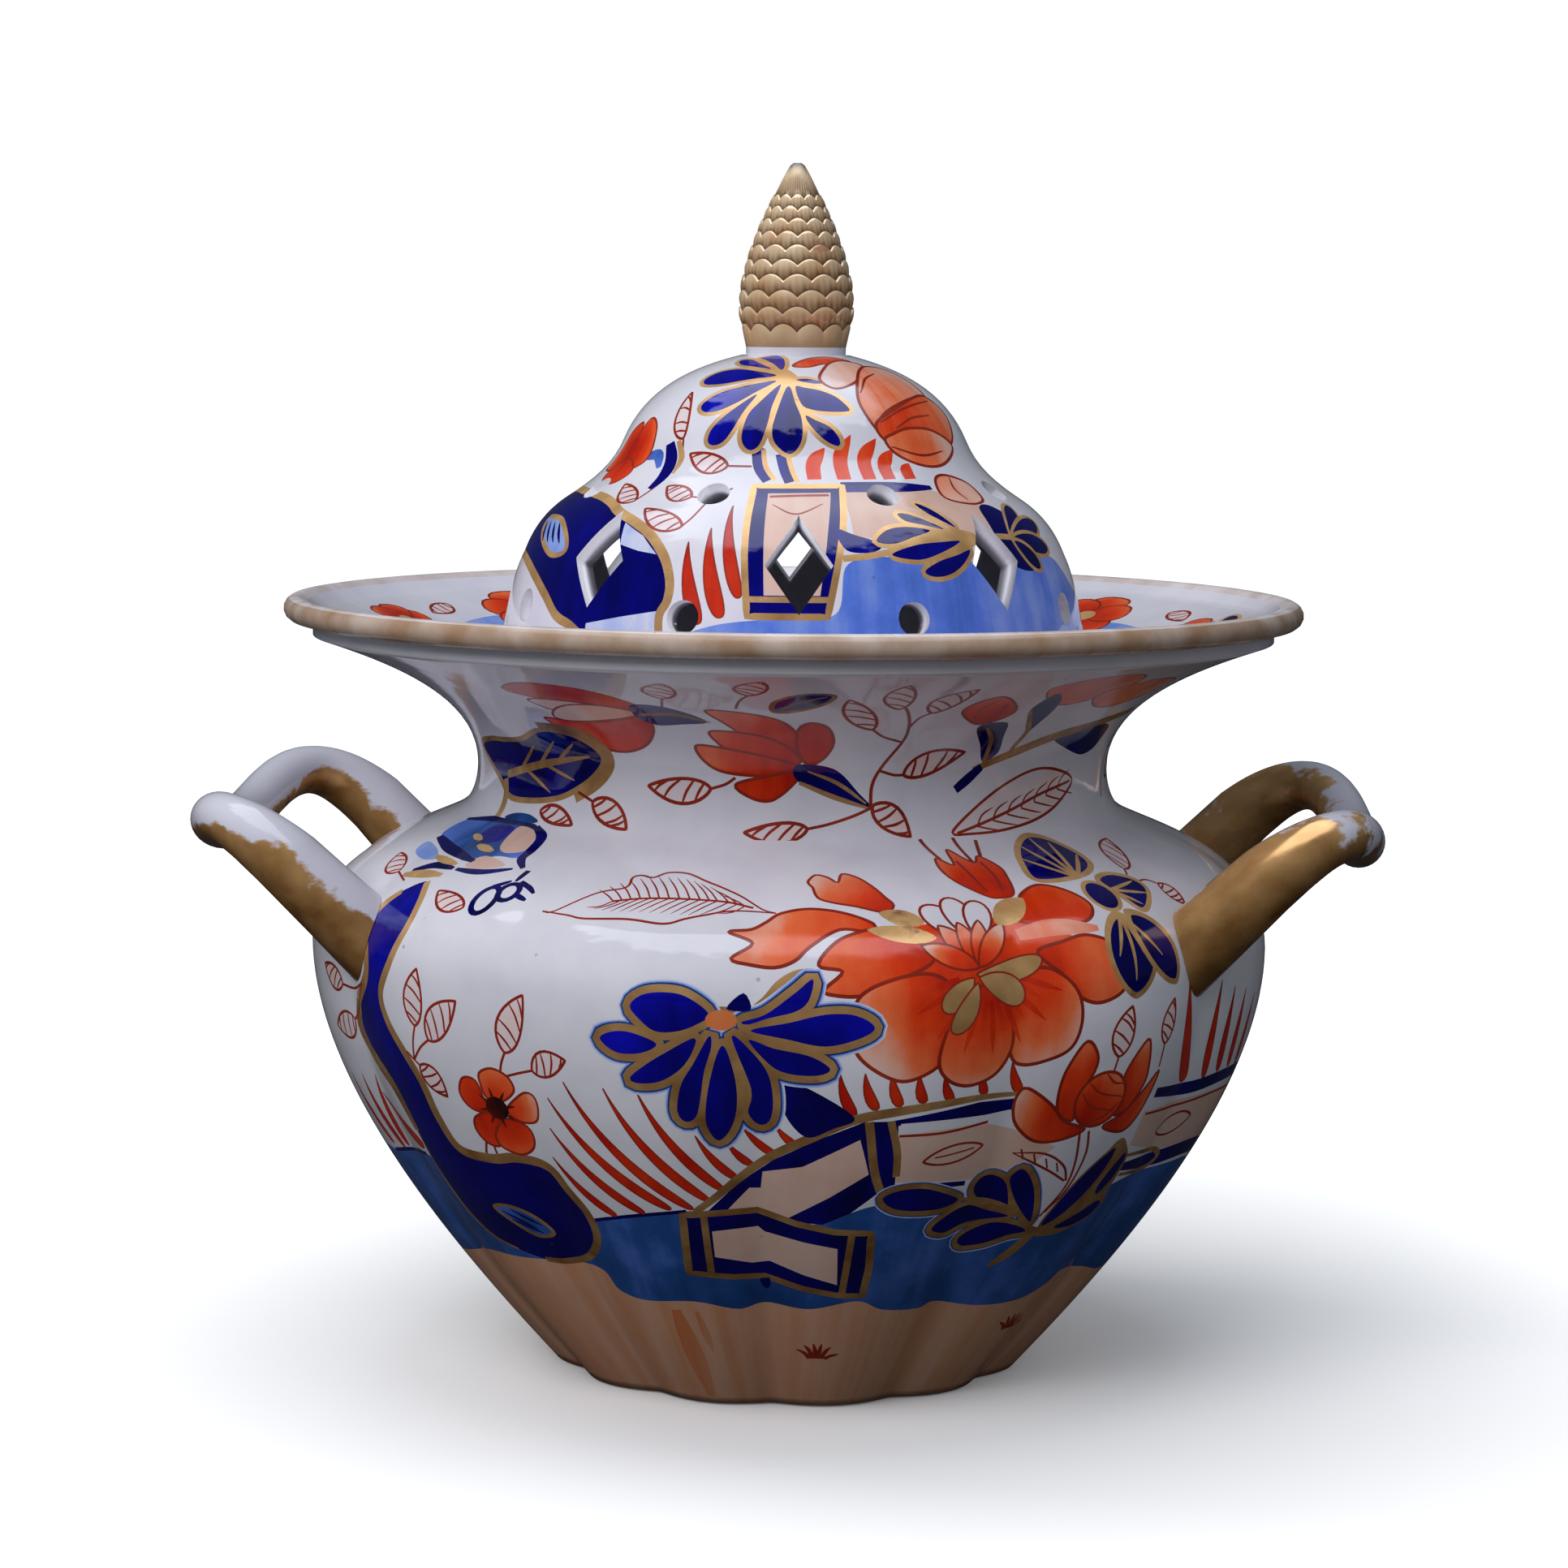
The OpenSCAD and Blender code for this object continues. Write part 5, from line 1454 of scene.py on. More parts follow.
@dataclass
class Neck:
    """The neck: a waist, a flare, a stepped rolled lip, and a painted dish with a gallery inside.

    Attributes:
        joint: Radius and height of the joint with the bowl.
        waist: Radius and height of the narrowest place.
        edge: Radius and height of the flare's end.
        joint_angle: Angle of the profile at the joint.
        joint_arm: Length of the arms between the joint and the waist.
        flare_arm: Length of the flare's arm at the waist.
        edge_arm: Angle and length of its arm at the end.
        step_h: Height of the step under the lip.
        lip_r: Radius of the lip's roll.
        rim_r: Radius over the lip.
        wall: Thickness of the wall.
        gallery_z: Height of the gallery.
        gallery_t: Thickness of the gallery.
        throat_r: Radius of the throat.
        inner_r: Radius inside the waist.
        inner_joint_r: Radius inside the joint.
    """

    joint: Point = (68.2, 117.6)
    waist: Point = (65.8, 125.6)
    edge: Point = (99.9, 152.6)
    joint_angle: float = 131.6
    joint_arm: float = 2.6
    flare_arm: float = 13.0
    edge_arm: Point = (18.5, 20.0)
    step_h: float = 3.0
    lip_r: float = 2.45
    rim_r: float = 105.9
    wall: float = 5.0
    gallery_z: float = 141.0
    gallery_t: float = 4.0
    throat_r: float = 55.0
    inner_r: float = 60.8
    inner_joint_r: float = 62.6

    def runs(self) -> list[np.ndarray]:
        """The profile: waist, flare, step, underside, lip, brim and dish."""
        joint, waist, edge = (np.array(p) for p in (self.joint, self.waist, self.edge))
        arm = along(self.joint_angle, self.joint_arm)
        low = cubic(joint, joint + arm, waist - (0, self.joint_arm), waist, 24)
        flare = cubic(waist, waist + (0, self.flare_arm), edge - along(*self.edge_arm), edge)
        shelf = edge + (0, self.step_h)
        middle = np.array([self.rim_r - self.lip_r, shelf[1] + self.lip_r])
        lip = np.array([middle + along(a, self.lip_r) for a in np.linspace(-90, 120, 29)])
        dish = inset(flare, self.wall)
        kept = dish[dish[:, 1] > self.gallery_z]
        end = [np.interp(self.gallery_z, dish[::-1, 1], dish[::-1, 0]), self.gallery_z]
        dish = np.concatenate([kept, [end]])
        return [
            low, flare, np.array([edge, shelf]), np.array([shelf, lip[0]]), lip, np.array([lip[-1], dish[0]]), dish]

    def build(self) -> Object:
        """Draws the outside and the dish in one sheet, and turns the throat from its edges."""
        chart = Chart(self.runs(), reference=66.0, columns=144, row=2.2, joins=(True, False))
        brush = Brush(chart, fine=0.72)
        self.dress(brush)
        bm = full_turn(sheet(chart, brush, [], "neck_outside"))
        drawn = set(bm.verts)
        low, high = boundary_loops(bm)
        under = self.gallery_z - self.gallery_t
        last = turned(bm, high, [
            (self.throat_r, self.gallery_z), (self.throat_r, under),
            (self.inner_r, under - (self.inner_r - self.throat_r)), (self.inner_r, self.waist[1]),
            (self.inner_joint_r, self.joint[1])])
        bmesh.ops.bridge_loops(bm, edges=low + last)
        return painted_piece(bm, drawn, "vase", "neck")

    def dress(self, brush: Brush) -> None:
        """Paints the lip, the sprays on the outside and the flowers in the dish."""
        chart = brush.chart
        reach = chart.half + 3
        low, high = chart.ends[3] - 0.4, chart.ends[4] + 1.4
        turn = low + 0.62 * (high - low)
        for start, end, tone in ((low, turn, 0.22), (turn, high, 0.82)):
            brush.fill(polygon([(-reach, start), (reach, start), (reach, end), (-reach, end)], 4.0), Paint.LIP,
                       tones=(tone, tone))
        self.left_flower(brush)
        self.lotus(brush)
        self.sprigs(brush)
        self.right_spray(brush)
        self.dish(brush)

    def left_flower(self, brush: Brush) -> None:
        """The flower and the broad blue leaf on the left."""
        heart = (-22.0, 29.0)
        for points, tones in (
                ([(-45, 37), (-38, 42), (-29, 40.5), (-22, 34), (-22, 31), (-32, 33), (-40, 33.6)], (0.1, 0.3)),
                ([(-44, 25), (-38, 19), (-30, 17), (-24, 19), (-21, 24), (-22, 28), (-30, 25.6), (-38, 25)],
                  (0.02, 0.6))):
            brush.flesh(spline(points, True), heart, 26, tones)
        for tip, width, bend in (((-43, 32), 6.4, 0.05), ((-41, 26), 6.4, -0.06)):
            brush.inked(brush.petal((-22, 29.4), tip, width, bend, 0.7, 0.6), 0.6, Paint.RED, heart, 22, (0.5, 1.0))
        brush.blob([(-22.5, 33), (-17, 33), (-10.5, 27.4), (-15, 26), (-20, 25.4), (-23, 28)], Paint.COBALT)
        brush.stroke([(-22, 29), (-16, 29.6), (-10, 27)], 1.2, Paint.GILT, (0.8, 0.3))
        brush.blob([(-63, 0.2), (-60, 1.6), (-55, 1.8), (-51.5, 0.5), (-57, -0.6)], Paint.WASH, tones=(0.15, 0.15))
        brush.stroke([(-48, 21.8), (-39, 21.4), (-34.4, 17.6), (-33.8, 14), (-37.4, 10), (-43, 6.8)], 3.2, Paint.GILT)
        brush.leaves(([(-78, 13.5), (-70, 15.7), (-63, 16.2), (-56, 17.2), (-48, 20.4), (-41, 20), (-36.6, 17.4),
                       (-35.2, 14.7), (-38.4, 11.2), (-43, 8.4), (-48, 6.4), (-56, 5.2), (-64, 5.2), (-69, 8)],), 1.2)
        brush.stroke([(-67, 8), (-66, 4), (-66, -0.4)], 2.2, Paint.GILT)
        brush.stroke([(-66, 9), (-52, 12.4), (-38, 15.2)], 1.6, Paint.GILT, (1.0, 0.3))
        for start, end in (((-58, 10.8), (-50, 6.8)), ((-51, 12.4), (-43, 9.8)), ((-60, 10.6), (-53, 16.4)),
                           ((-53, 12.2), (-46, 18.2)), ((-47, 13.4), (-41, 18))):
            brush.stroke([start, end], 0.8, Paint.GILT, (1.0, 0.3))

    def lotus(self, brush: Brush) -> None:
        """The red lotus at the middle of the front, with its calyx and stem."""
        heart = (7.0, 15.0)
        for points, tones in (
                ([(-10, 32), (-2, 30.5), (3, 27), (6, 20), (5, 16), (-2, 20), (-7, 26)], (0.0, 0.72)),
                ([(5, 25), (7, 27.5), (10, 26), (11.5, 21), (10, 17), (7, 15.5), (5, 19)], (0.0, 0.4)),
                ([(-10.5, 24), (-9, 19.6), (-5, 16.6), (5, 15.5), (4, 19), (-2, 23)], (0.0, 0.7)),
                ([(-14, 19.5), (-10, 19.4), (0, 17), (5, 15), (0, 13), (-9, 13.5), (-13, 16)], (0.0, 0.7)),
                ([(-7, 11), (-4, 8.5), (0, 8), (4, 11), (5.6, 14), (0, 13)], (0.0, 0.55))):
            brush.flesh(spline(points, True), heart, 24, tones, 0.65)
        brush.blob([(5, 15.4), (12, 14.5), (17, 9.6), (19.5, 6.5), (12, 8.6), (5, 12)], Paint.COBALT)
        brush.stroke([(5.4, 11.6), (12, 8.8), (19.6, 6.3)], 1.0, Paint.GILT, (0.7, 0.4))
        brush.stroke([(7, 14), (13, 11.4), (18.6, 7.4)], 0.8, Paint.GILT, (0.4, 0.4))
        brush.stroke([(19.5, 6.5), (20, 12), (24, 20), (24.5, 25), (23, 31), (20.8, 36)], 0.7, Paint.LINE)
        brush.strokes((
            [(21, 14), (24, 13), (26, 13)], [(24, 21), (20.4, 22.6), (18, 25)], [(24.4, 25), (25.4, 29), (27, 31)]),
            0.6, Paint.LINE)

    def sprigs(self, brush: Brush) -> None:
        """The small veined leaves in red line."""
        for base, tip, width in (
                ((18, 25), (12.5, 38), 4.6), ((21, 33), (20, 46.5), 4.6), ((27, 31), (31, 43), 5.0),
                ((26, 13), (38, 17.6), 5.0), ((7, 2.5), (-5, 1.6), 4.2), ((20, 7), (27, 0.6), 5.0),
                ((-12, 10), (-25, 10), 5.0), ((-16, 37), (-14, 46), 5.0), ((-2.5, 40), (0, 49), 4.6),
                ((-38, 6), (-29, 1), 4.8), ((-52, 3), (-42, 0.8), 3.6), ((92, 14), (97, 25), 5.0),
                ((94, 8), (102, 12), 4.6), ((-92, 18), (-97, 28), 5.0), ((-90, 9), (-99, 12), 4.8)):
            brush.leaf(base, tip, width)
        brush.strokes((
            [(88, 4), (91, 9), (92, 14)], [(-86, 5), (-90, 10), (-92, 18)], [(-12, 10), (-9, 11), (-7, 12.4)],
            [(7, 2.5), (11, 3.4), (16, 5), (19.5, 6.5)], [(-42, 7.6), (-38, 6)], [(-17, 33), (-16, 37)],
            [(-5, 33), (-4, 37), (-2.5, 40)]), 0.6, Paint.LINE)
        brush.rim_of([(1, 32), (1.5, 37), (6, 41), (10, 40.5), (9, 36), (5, 32.5)], Paint.COBALT, 1.1)
        brush.stroke([(2, 33), (5, 36.4), (9, 39.6)], 0.8, Paint.GILT, (0.6, 0.3))
        outline = spline([(36, 1), (42, 5.6), (50, 10), (58, 12.4), (66, 11.6), (72, 9), (66, 5), (58, 2.4),
                          (48, 0.8), (40, 0.5)], True)
        brush.inked(outline, 0.6, Paint.RED, tones=(1.0, 1.0))
        brush.stroke([(37, 0.8), (50, 4.4), (60, 7.2), (71, 9)], 0.6, Paint.LINE)
        for x in (42, 46, 50, 54, 58, 62, 66):
            y = 0.8 + (x - 37) * 0.24
            brush.strokes((
                [(x, y), (x + 1.6, y + 2.2), (x + 4.6, y + 3.6)], [(x, y), (x + 3, y - 0.8), (x + 6, y - 1.4)]), 0.4,
                Paint.LINE, (1.0, 0.3))

    def right_spray(self, brush: Brush) -> None:
        """The bud, the gilt stem and the blue leaves on the right."""
        for points, tones in (([(44, 42), (52, 48), (60, 46), (62, 38), (55, 32), (48, 34)], (0.5, 0.9)),
                              ([(58, 36), (66, 42), (76, 40), (78, 33), (70, 29), (62, 30)], (0.4, 0.85))):
            brush.flesh(spline(points, True), (50, 32), 28, tones, 0.5)
        brush.flesh(spline([(32.5, 31), (34, 36), (37, 38), (41, 34), (43, 30), (41, 27), (37, 26)], True), (38, 26),
                    14, (0.0, 0.75), 0.65)
        brush.strokes(([(36, 28), (35.6, 32), (37, 36)], [(39, 27), (40, 30), (39.6, 34)]), 0.5, Paint.LINE)
        for points in ([(38, 25), (41, 19), (43, 15), (46, 17), (45.4, 21), (43.6, 26)],
                       [(46, 31), (47, 38), (50.4, 34), (52, 28), (50.6, 22), (48, 26)],
                       [(60, 19.4), (66, 16.4), (74, 14.2), (80, 15.7), (81, 20), (75, 22), (66, 21)]):
            brush.blob(points, Paint.COBALT)
        brush.stroke([(40, 24.6), (43, 20), (43.4, 14)], 1.1, Paint.GILT, (0.5, 1.0))
        brush.stroke([(46.4, 30), (48.6, 26), (50.4, 22), (49, 17)], 1.3, Paint.GILT, (0.6, 0.8))
        brush.stroke([(41, 13.4), (50, 16.7), (60, 20.2), (70, 22.2), (86, 25)], 2.6, Paint.GILT, (0.5, 1.0))
        brush.stroke([(37.5, 9.5), (40, 11.4), (43, 14)], 2.2, Paint.COBALT, (0.8, 0.8))

    def dish(self, brush: Brush) -> None:
        """The flowers, leaves and blue ground inside the rim."""
        chart = brush.chart
        outer, inner = chart.ends[5], chart.length
        deep = inner - outer
        for side in (-1, 1):
            pool = [
                (side * 4, outer + 0.72 * deep), (side * 22, outer + 0.5 * deep), (side * 40, outer + 0.62 * deep),
                (side * 60, outer + 0.42 * deep), (side * 84, outer + 0.55 * deep), (side * 98, outer + 0.75 * deep),
                (side * 70, inner - 1), (side * 36, inner - 1)]
            brush.blob(pool, Paint.WASH, (side * 50, inner), 40, (0.45, 0.85))
        for x, y, size in (
                (-52, outer + 0.36 * deep, 9.0), (54, outer + 0.4 * deep, 9.5), (4, outer + 0.3 * deep, 8.0),
                (-86, outer + 0.45 * deep, 8.0), (88, outer + 0.34 * deep, 7.0)):
            for k in range(6):
                tip = (x + size * math.cos(k * math.pi / 3 + x), y + 1.15 * size * math.sin(k * math.pi / 3 + x))
                brush.flesh(
                    brush.petal((x, y), tip, 0.95 * size, 0.0, 0.6, 0.4), (x, y), 1.3 * size, (0.02, 0.8), 0.6)
            brush.fill(ellipse((x, y), 0.24 * size, 0.26 * size), Paint.GILT)
        for x, y, lean in ((-24, outer + 0.4 * deep, 20), (28, outer + 0.5 * deep, 150), (72, outer + 0.6 * deep, 60),
                           (-70, outer + 0.68 * deep, 120), (-100, outer + 0.3 * deep, 20)):
            for k in (-50, -20, 15, 48):
                tip = tuple((x, y) + along(lean + k, 13))
                if abs(tip[0]) < chart.half - 3:
                    brush.gilded((x, y), tip, 4.2, 0.8, 0.55, 0.9)
        for x, y, turn in ((-36, 0.2, 30), (-12, 0.16, 160), (20, 0.18, 20), (40, 0.2, 150), (70, 0.22, 35),
                           (-70, 0.2, 150), (12, 0.62, 70), (-40, 0.75, 100), (46, 0.75, 60), (92, 0.72, 110)):
            base = (x, outer + y * deep)
            tip = (x + 9 * math.cos(math.radians(turn)), base[1] + 6 * math.sin(math.radians(turn)))
            brush.leaf(base, tip, 4.6)
        for x in (-30, -26, -22, 34, 38, 42, 62, 66):
            brush.blade((x, outer + 0.92 * deep), (x + 3, outer + 0.62 * deep), 2.4)


@dataclass
class Handle:
    """A rod handle luted to the shoulder by two roots.

    Attributes:
        side: 1 for the right handle, -1 for the left.
        finish: Its gilding.
        rod_r: Radius of the rod.
        slim: How much thinner pulling has left it away from its roots.
        swell: How much thicker it is at its roots.
        root_angle: Angle from the handle's axis to a root, in degrees.
        root_z: Height of the roots.
        bend: Distance from the axis and height of the outer bend.
        crest: Height of the leg's control point.
        leg: How far that point lies out and along the wall, for a rise of leg_rise.
        leg_rise: The rise that this is given for.
        bow: Length of the bend's arm.
        slim_run: Where along the leg the thinning starts, and over how much of it.
        clear: Share of the leg that the seated root takes up.
        root_rings: Shares of a root's radius at which its seat has rings.
        turns: Turns of settling a point on the wall.
        pace: Share of the distance to the wall that one turn takes.
        gap: Seam of slip between a root and the wall.
        sides: Points round the rod.
    """

    side: int
    finish: Gilding
    rod_r: float = 6.5
    slim: float = 1.3
    swell: float = 1.2
    root_angle: float = 31.0
    root_z: float = 96.0
    bend: Point = (117.5, 111.4)
    crest: float = 132.0
    leg: Point = (25.0, -8.0)
    leg_rise: float = 28.0
    bow: float = 38.0
    slim_run: Point = (0.1, 0.35)
    clear: float = 0.14
    root_rings: tuple[float, ...] = (0.3, 0.6, 0.85, 0.97, 1.0)
    turns: int = 14
    pace: float = 0.6
    gap: float = 0.12
    sides: int = 32

    def wall_r(self, bowl: Bowl, spot: np.ndarray) -> float:
        """The bowl's radius at a point's angle and height."""
        profile = np.concatenate(bowl.runs())
        plain = np.interp(spot[2], profile[:, 1], profile[:, 0])
        angle = np.array([math.atan2(spot[1], spot[0])])
        return float(bowl.lobes.radius(angle, np.array([plain]), spot[2:3])[0])

    def settle(self, bowl: Bowl, spot: np.ndarray, run: np.ndarray) -> np.ndarray:
        """Slides a point along the rod until it lies on the wall."""
        for _ in range(self.turns):
            out = math.hypot(spot[0], spot[1])
            rate = (spot[0] * run[0] + spot[1] * run[1]) / out
            spot = spot - self.pace * (out - self.wall_r(bowl, spot) - self.gap) / rate * run
        return spot

    def ring(self, middle: np.ndarray, run: np.ndarray, radius: float) -> np.ndarray:
        """A ring round the rod, square to its run."""
        side = np.cross(run, (0, 0, 1))
        side /= np.linalg.norm(side)
        down = np.cross(run / np.linalg.norm(run), side)
        angle = np.linspace(0, 2 * math.pi, self.sides, endpoint=False)[:, None]
        return middle + radius * (np.cos(angle) * side + np.sin(angle) * down)

    def build(self, bowl: Bowl) -> Object:
        """Sweeps half the rod from a root to the bend, mirrors it, and seats both roots."""
        c, s = along(self.root_angle)
        radius = self.wall_r(bowl, np.array([c, -s, self.root_z]))
        root = np.array([radius * c, -radius * s, self.root_z])
        lean = (self.crest - self.root_z) / self.leg_rise
        arms = [root, np.array([root[0] + self.leg[0] * lean, root[1] + self.leg[1] * lean, self.crest]),
                np.array([self.bend[0], -self.bow, self.bend[1]]), np.array([self.bend[0], 0, self.bend[1]])]
        path = cubic(*arms, count=45)
        runs = np.gradient(path, axis=0)
        runs[-1] = arms[3] - arms[2]
        start = (arms[1] - arms[0]) / np.linalg.norm(arms[1] - arms[0])
        near = [
            np.array([self.settle(bowl, p, start) for p in self.ring(root, start, share * (self.rod_r + self.swell))])
            for share in self.root_rings]
        for i, (p, run) in enumerate(zip(path, runs)):
            t = i / (len(path) - 1)
            if t >= self.clear:
                waist = self.slim * float(smooth_step(np.array((t - self.slim_run[0]) / self.slim_run[1])))
                near.append(self.ring(p, run, self.rod_r - waist + self.swell * (1 - t) ** 4))
        flip = np.array([1, -1, 1])
        rings = near + [ring * flip for ring in near[-2::-1]]
        hub = self.settle(bowl, root, start)
        turn = np.array([self.side, self.side, 1])
        bm = loft([MM * ring * turn for ring in rings], [MM * hub * turn, MM * hub * flip * turn])
        name = "handle_right" if self.side > 0 else "handle_left"
        return piece(bm, "gilt_" + name, [self.finish.material()], "vase", name, crease=50.0)


@dataclass
class Cover:
    """The pierced double-domed cover.

    Attributes:
        seat: Radius and height of its lower edge.
        brow: Radius and height where the lower dome turns in.
        crown: Radius and height of the upper dome's foot.
        top: Radius and height of the finial's seat.
        angles: Angles of the profile at those four places.
        arms: Lengths of the arms of its three curves, from the seat up.
        wall: Thickness of the wall.
        ring_r: Radius inside the ring that it stands on.
        ring_t: Thickness of that ring.
        turn: Turn of the cover on its seat, in degrees.
        piercings: Piercings in each row.
        diamond: Width and height of a diamond.
        diamond_z: Height of the diamonds.
        hole_r: Radius of the round piercings.
        low_hole_z: Height of the lower round piercings.
        high_hole_at: Place of the upper ones along the waist.
    """

    seat: Point = (62.3, 141.2)
    brow: Point = (47.0, 181.2)
    crown: Point = (35.5, 193.3)
    top: Point = (11.2, 210.6)
    angles: tuple[float, ...] = (97.0, 147.0, 113.0, 166.0)
    arms: tuple[Point, ...] = ((25.0, 11.0), (8.0, 5.0), (11.0, 11.0))
    wall: float = 4.5
    ring_r: float = 50.4
    ring_t: float = 4.0
    turn: float = 4.5
    piercings: int = 8
    diamond: Point = (13.5, 19.0)
    diamond_z: float = 170.2
    hole_r: float = 3.35
    low_hole_z: float = 159.8
    high_hole_at: float = 0.17

    def runs(self) -> list[np.ndarray]:
        """The outside profile: side, waist and crown."""
        places = [np.array(p) for p in (self.seat, self.brow, self.crown, self.top)]
        ends = list(zip(places, self.angles))
        return [cubic(a, a + along(leave, start), b - along(reach, end), b)
                for (a, leave), (b, reach), (start, end) in zip(ends, ends[1:], self.arms)]

    def holes(self, chart: Chart) -> list[np.ndarray]:
        """The outlines of the piercings on the chart."""
        side = chart.arc <= chart.ends[0] + 1e-6
        waist = self.runs()[1]
        high_z = float(np.interp(self.high_hole_at, np.linspace(0, 1, len(waist)), waist[:, 1]))

        def cut(outline: np.ndarray, height: float) -> np.ndarray:
            """A level cutter's outline, sideways and up from a height, laid on the chart."""
            z = height + outline[:, 1]
            y = np.interp(z, chart.heights[side], chart.arc[side])
            return np.stack([chart.reference * np.arcsin(outline[:, 0] / np.interp(y, chart.arc, chart.radii)), y], 1)

        w, h = self.diamond
        diamond = cut(polygon([(0, -h / 2), (w / 2, 0), (0, h / 2), (-w / 2, 0)]), self.diamond_z)
        low = cut(ellipse((0, 0), self.hole_r, self.hole_r), self.low_hole_z)
        centre = float(np.interp(high_z, chart.heights, chart.arc))
        high = ellipse((0, centre), self.hole_r * chart.stretch(centre), self.hole_r)
        step = 2 * math.pi / self.piercings * chart.reference
        start = math.radians(self.turn) * chart.reference
        made = []
        for k in range(-3, 4):
            for outline, shift in ((diamond, 0.0), (low, 0.5), (high, 0.5)):
                moved = outline + (start + (k + shift) * step, 0)
                if np.abs(moved[:, 0]).min() < chart.half + 1:
                    made.append(moved)
        return made

    def build(self) -> Object:
        """Draws the pierced outside, closes its top, and thickens it inwards."""
        chart = Chart(self.runs(), reference=60.0, columns=144, row=2.0)
        brush = Brush(chart)
        self.dress(brush)
        bm = full_turn(sheet(chart, brush, self.holes(chart), "cover_outside"))
        drawn = set(bm.verts)
        skin = bm.verts.layers.float_vector["skin"]
        last = turned(bm, boundary_loops(bm)[-1], [(6.0, self.top[1]), (0.0, self.top[1])])
        bmesh.ops.remove_doubles(bm, verts=list(dict.fromkeys(v for e in last for v in e.verts)), dist=1e-6)
        bm.normal_update()
        ways = {v: Vector(v[skin]) if Vector(v[skin]).length > 0.5 else v.normal.copy() for v in bm.verts}
        spots = {tuple(round(c, 7) for c in v.co): way for v, way in ways.items()}
        before = set(bm.verts)
        bmesh.ops.extrude_face_region(bm, geom=bm.faces[:], use_keep_orig=True)
        for vert in bm.verts:
            if vert not in before:
                vert.co -= MM * self.wall * spots[tuple(round(c, 7) for c in vert.co)]
                vert.co.z = max(vert.co.z, MM * self.seat[1])
        self.seat_ring(bm)
        return painted_piece(bm, drawn, "lid", "cover")

    def seat_ring(self, bm: BMesh) -> None:
        """Turns the ring inside the lower edge that the cover stands on."""
        low, high = self.seat[1] + 0.02, self.seat[1] + self.ring_t
        out = self.seat[0] - 0.5 * self.wall
        corners = ((self.ring_r, low), (out, low), (out, high), (self.ring_r, high))
        verts = [bm.verts.new((MM * r, 0, MM * z)) for r, z in corners]
        edges = [bm.edges.new(pair) for pair in zip(verts, verts[1:] + verts[:1])]
        bmesh.ops.spin(bm, geom=verts + edges, cent=(0, 0, 0), axis=(0, 0, 1), dvec=(0, 0, 0), angle=2 * math.pi,
                       steps=ROUND_STEPS, use_merge=True)

    def dress(self, brush: Brush) -> None:
        """Paints the cover from its lower edge up."""
        self.ground(brush)
        self.panel(brush)
        self.frame_panel(brush)
        self.right_leaves(brush)
        self.sprigs(brush)
        self.crown_leaf(brush)
        self.peony(brush)

    def ground(self, brush: Brush) -> None:
        """The blue wash at the lower edge and behind the right."""
        half = brush.chart.half
        bank = [(half + 4, 18), (half, 18), (84, 24), (75, 30), (60, 31), (40, 30), (26, 31.5), (15, 30), (12, 20),
                (0, 19), (-12, 17.5), (-20, 14), (-24, 6), (-60, 5), (-85, 12), (-half, 18), (-half - 4, 18)]
        floor = np.array([(-half - 4, -4), (half + 4, -4)])
        brush.fill(np.concatenate([spline(bank), floor]), Paint.WASH, (20, 20), 60, (0.5, 0.62))
        brush.panel([(17, 36), (17, 49.4), (45, 49.4), (58, 46), (56, 36), (40, 34)], Paint.SALMON)
        brush.stroke([(17, 50.6), (30, 50.6), (46, 50.2)], 3.0, Paint.COBALT, (1.0, 0.4), (0.5, 0.5))
        brush.blob([(56, 30), (56, 42), (62, 44), (67, 38), (66, 28)], Paint.COBALT)

    def panel(self, brush: Brush) -> None:
        """The broad blue panel on the left with its gilt edges and light oval."""
        upper = [(-90, 46), (-80, 47), (-60, 46), (-50, 44), (-44, 41.4), (-36, 38.6), (-30, 35.6), (-25, 31),
                 (-22.6, 26), (-22.6, 22), (-24, 19), (-23.6, 14)]
        lower = [(-30, 12), (-42, 14), (-47, 16), (-52, 17.6), (-58, 21.6), (-66, 25.4), (-75, 28), (-90, 30)]
        brush.blob(upper + lower, Paint.COBALT, tones=(0.15, 0.15))
        for pale in ([(-39, 38.4), (-32, 35.4), (-27, 31.4), (-32, 32), (-37.4, 33.2)],
                     [(-42, 16.6), (-33, 18.4), (-24, 20), (-23.4, 15), (-33, 14), (-42, 15)]):
            brush.panel(pale, Paint.WASH, tones=(0.86, 0.86))
        brush.stroke(upper, 2.2, Paint.GILT, (0.8, 0.8))
        brush.stroke(lower, 2.1, Paint.GILT, (0.6, 0.7))
        brush.rim_of([(-76, 38), (-66, 38), (-58, 34.6), (-54.8, 31), (-60, 29.8), (-68, 32.4), (-74, 35.4)],
                     Paint.WASH, 1.2, 0.66)
        for shift in (-6.4, -3.2, 0.0, 3.2):
            brush.stroke([(-68 + shift, 37), (-62 + shift, 32.4)], 0.9, Paint.COBALT, (0.3, 0.3))
        for base, tip, width in (
                ((-15.5, 17.6), (-20, 34.4), 3.6), ((-11, 19), (-15.5, 37.8), 3.8), ((-7.5, 23), (-12, 44.4), 3.2)):
            brush.blade(base, tip, width, 0.04)

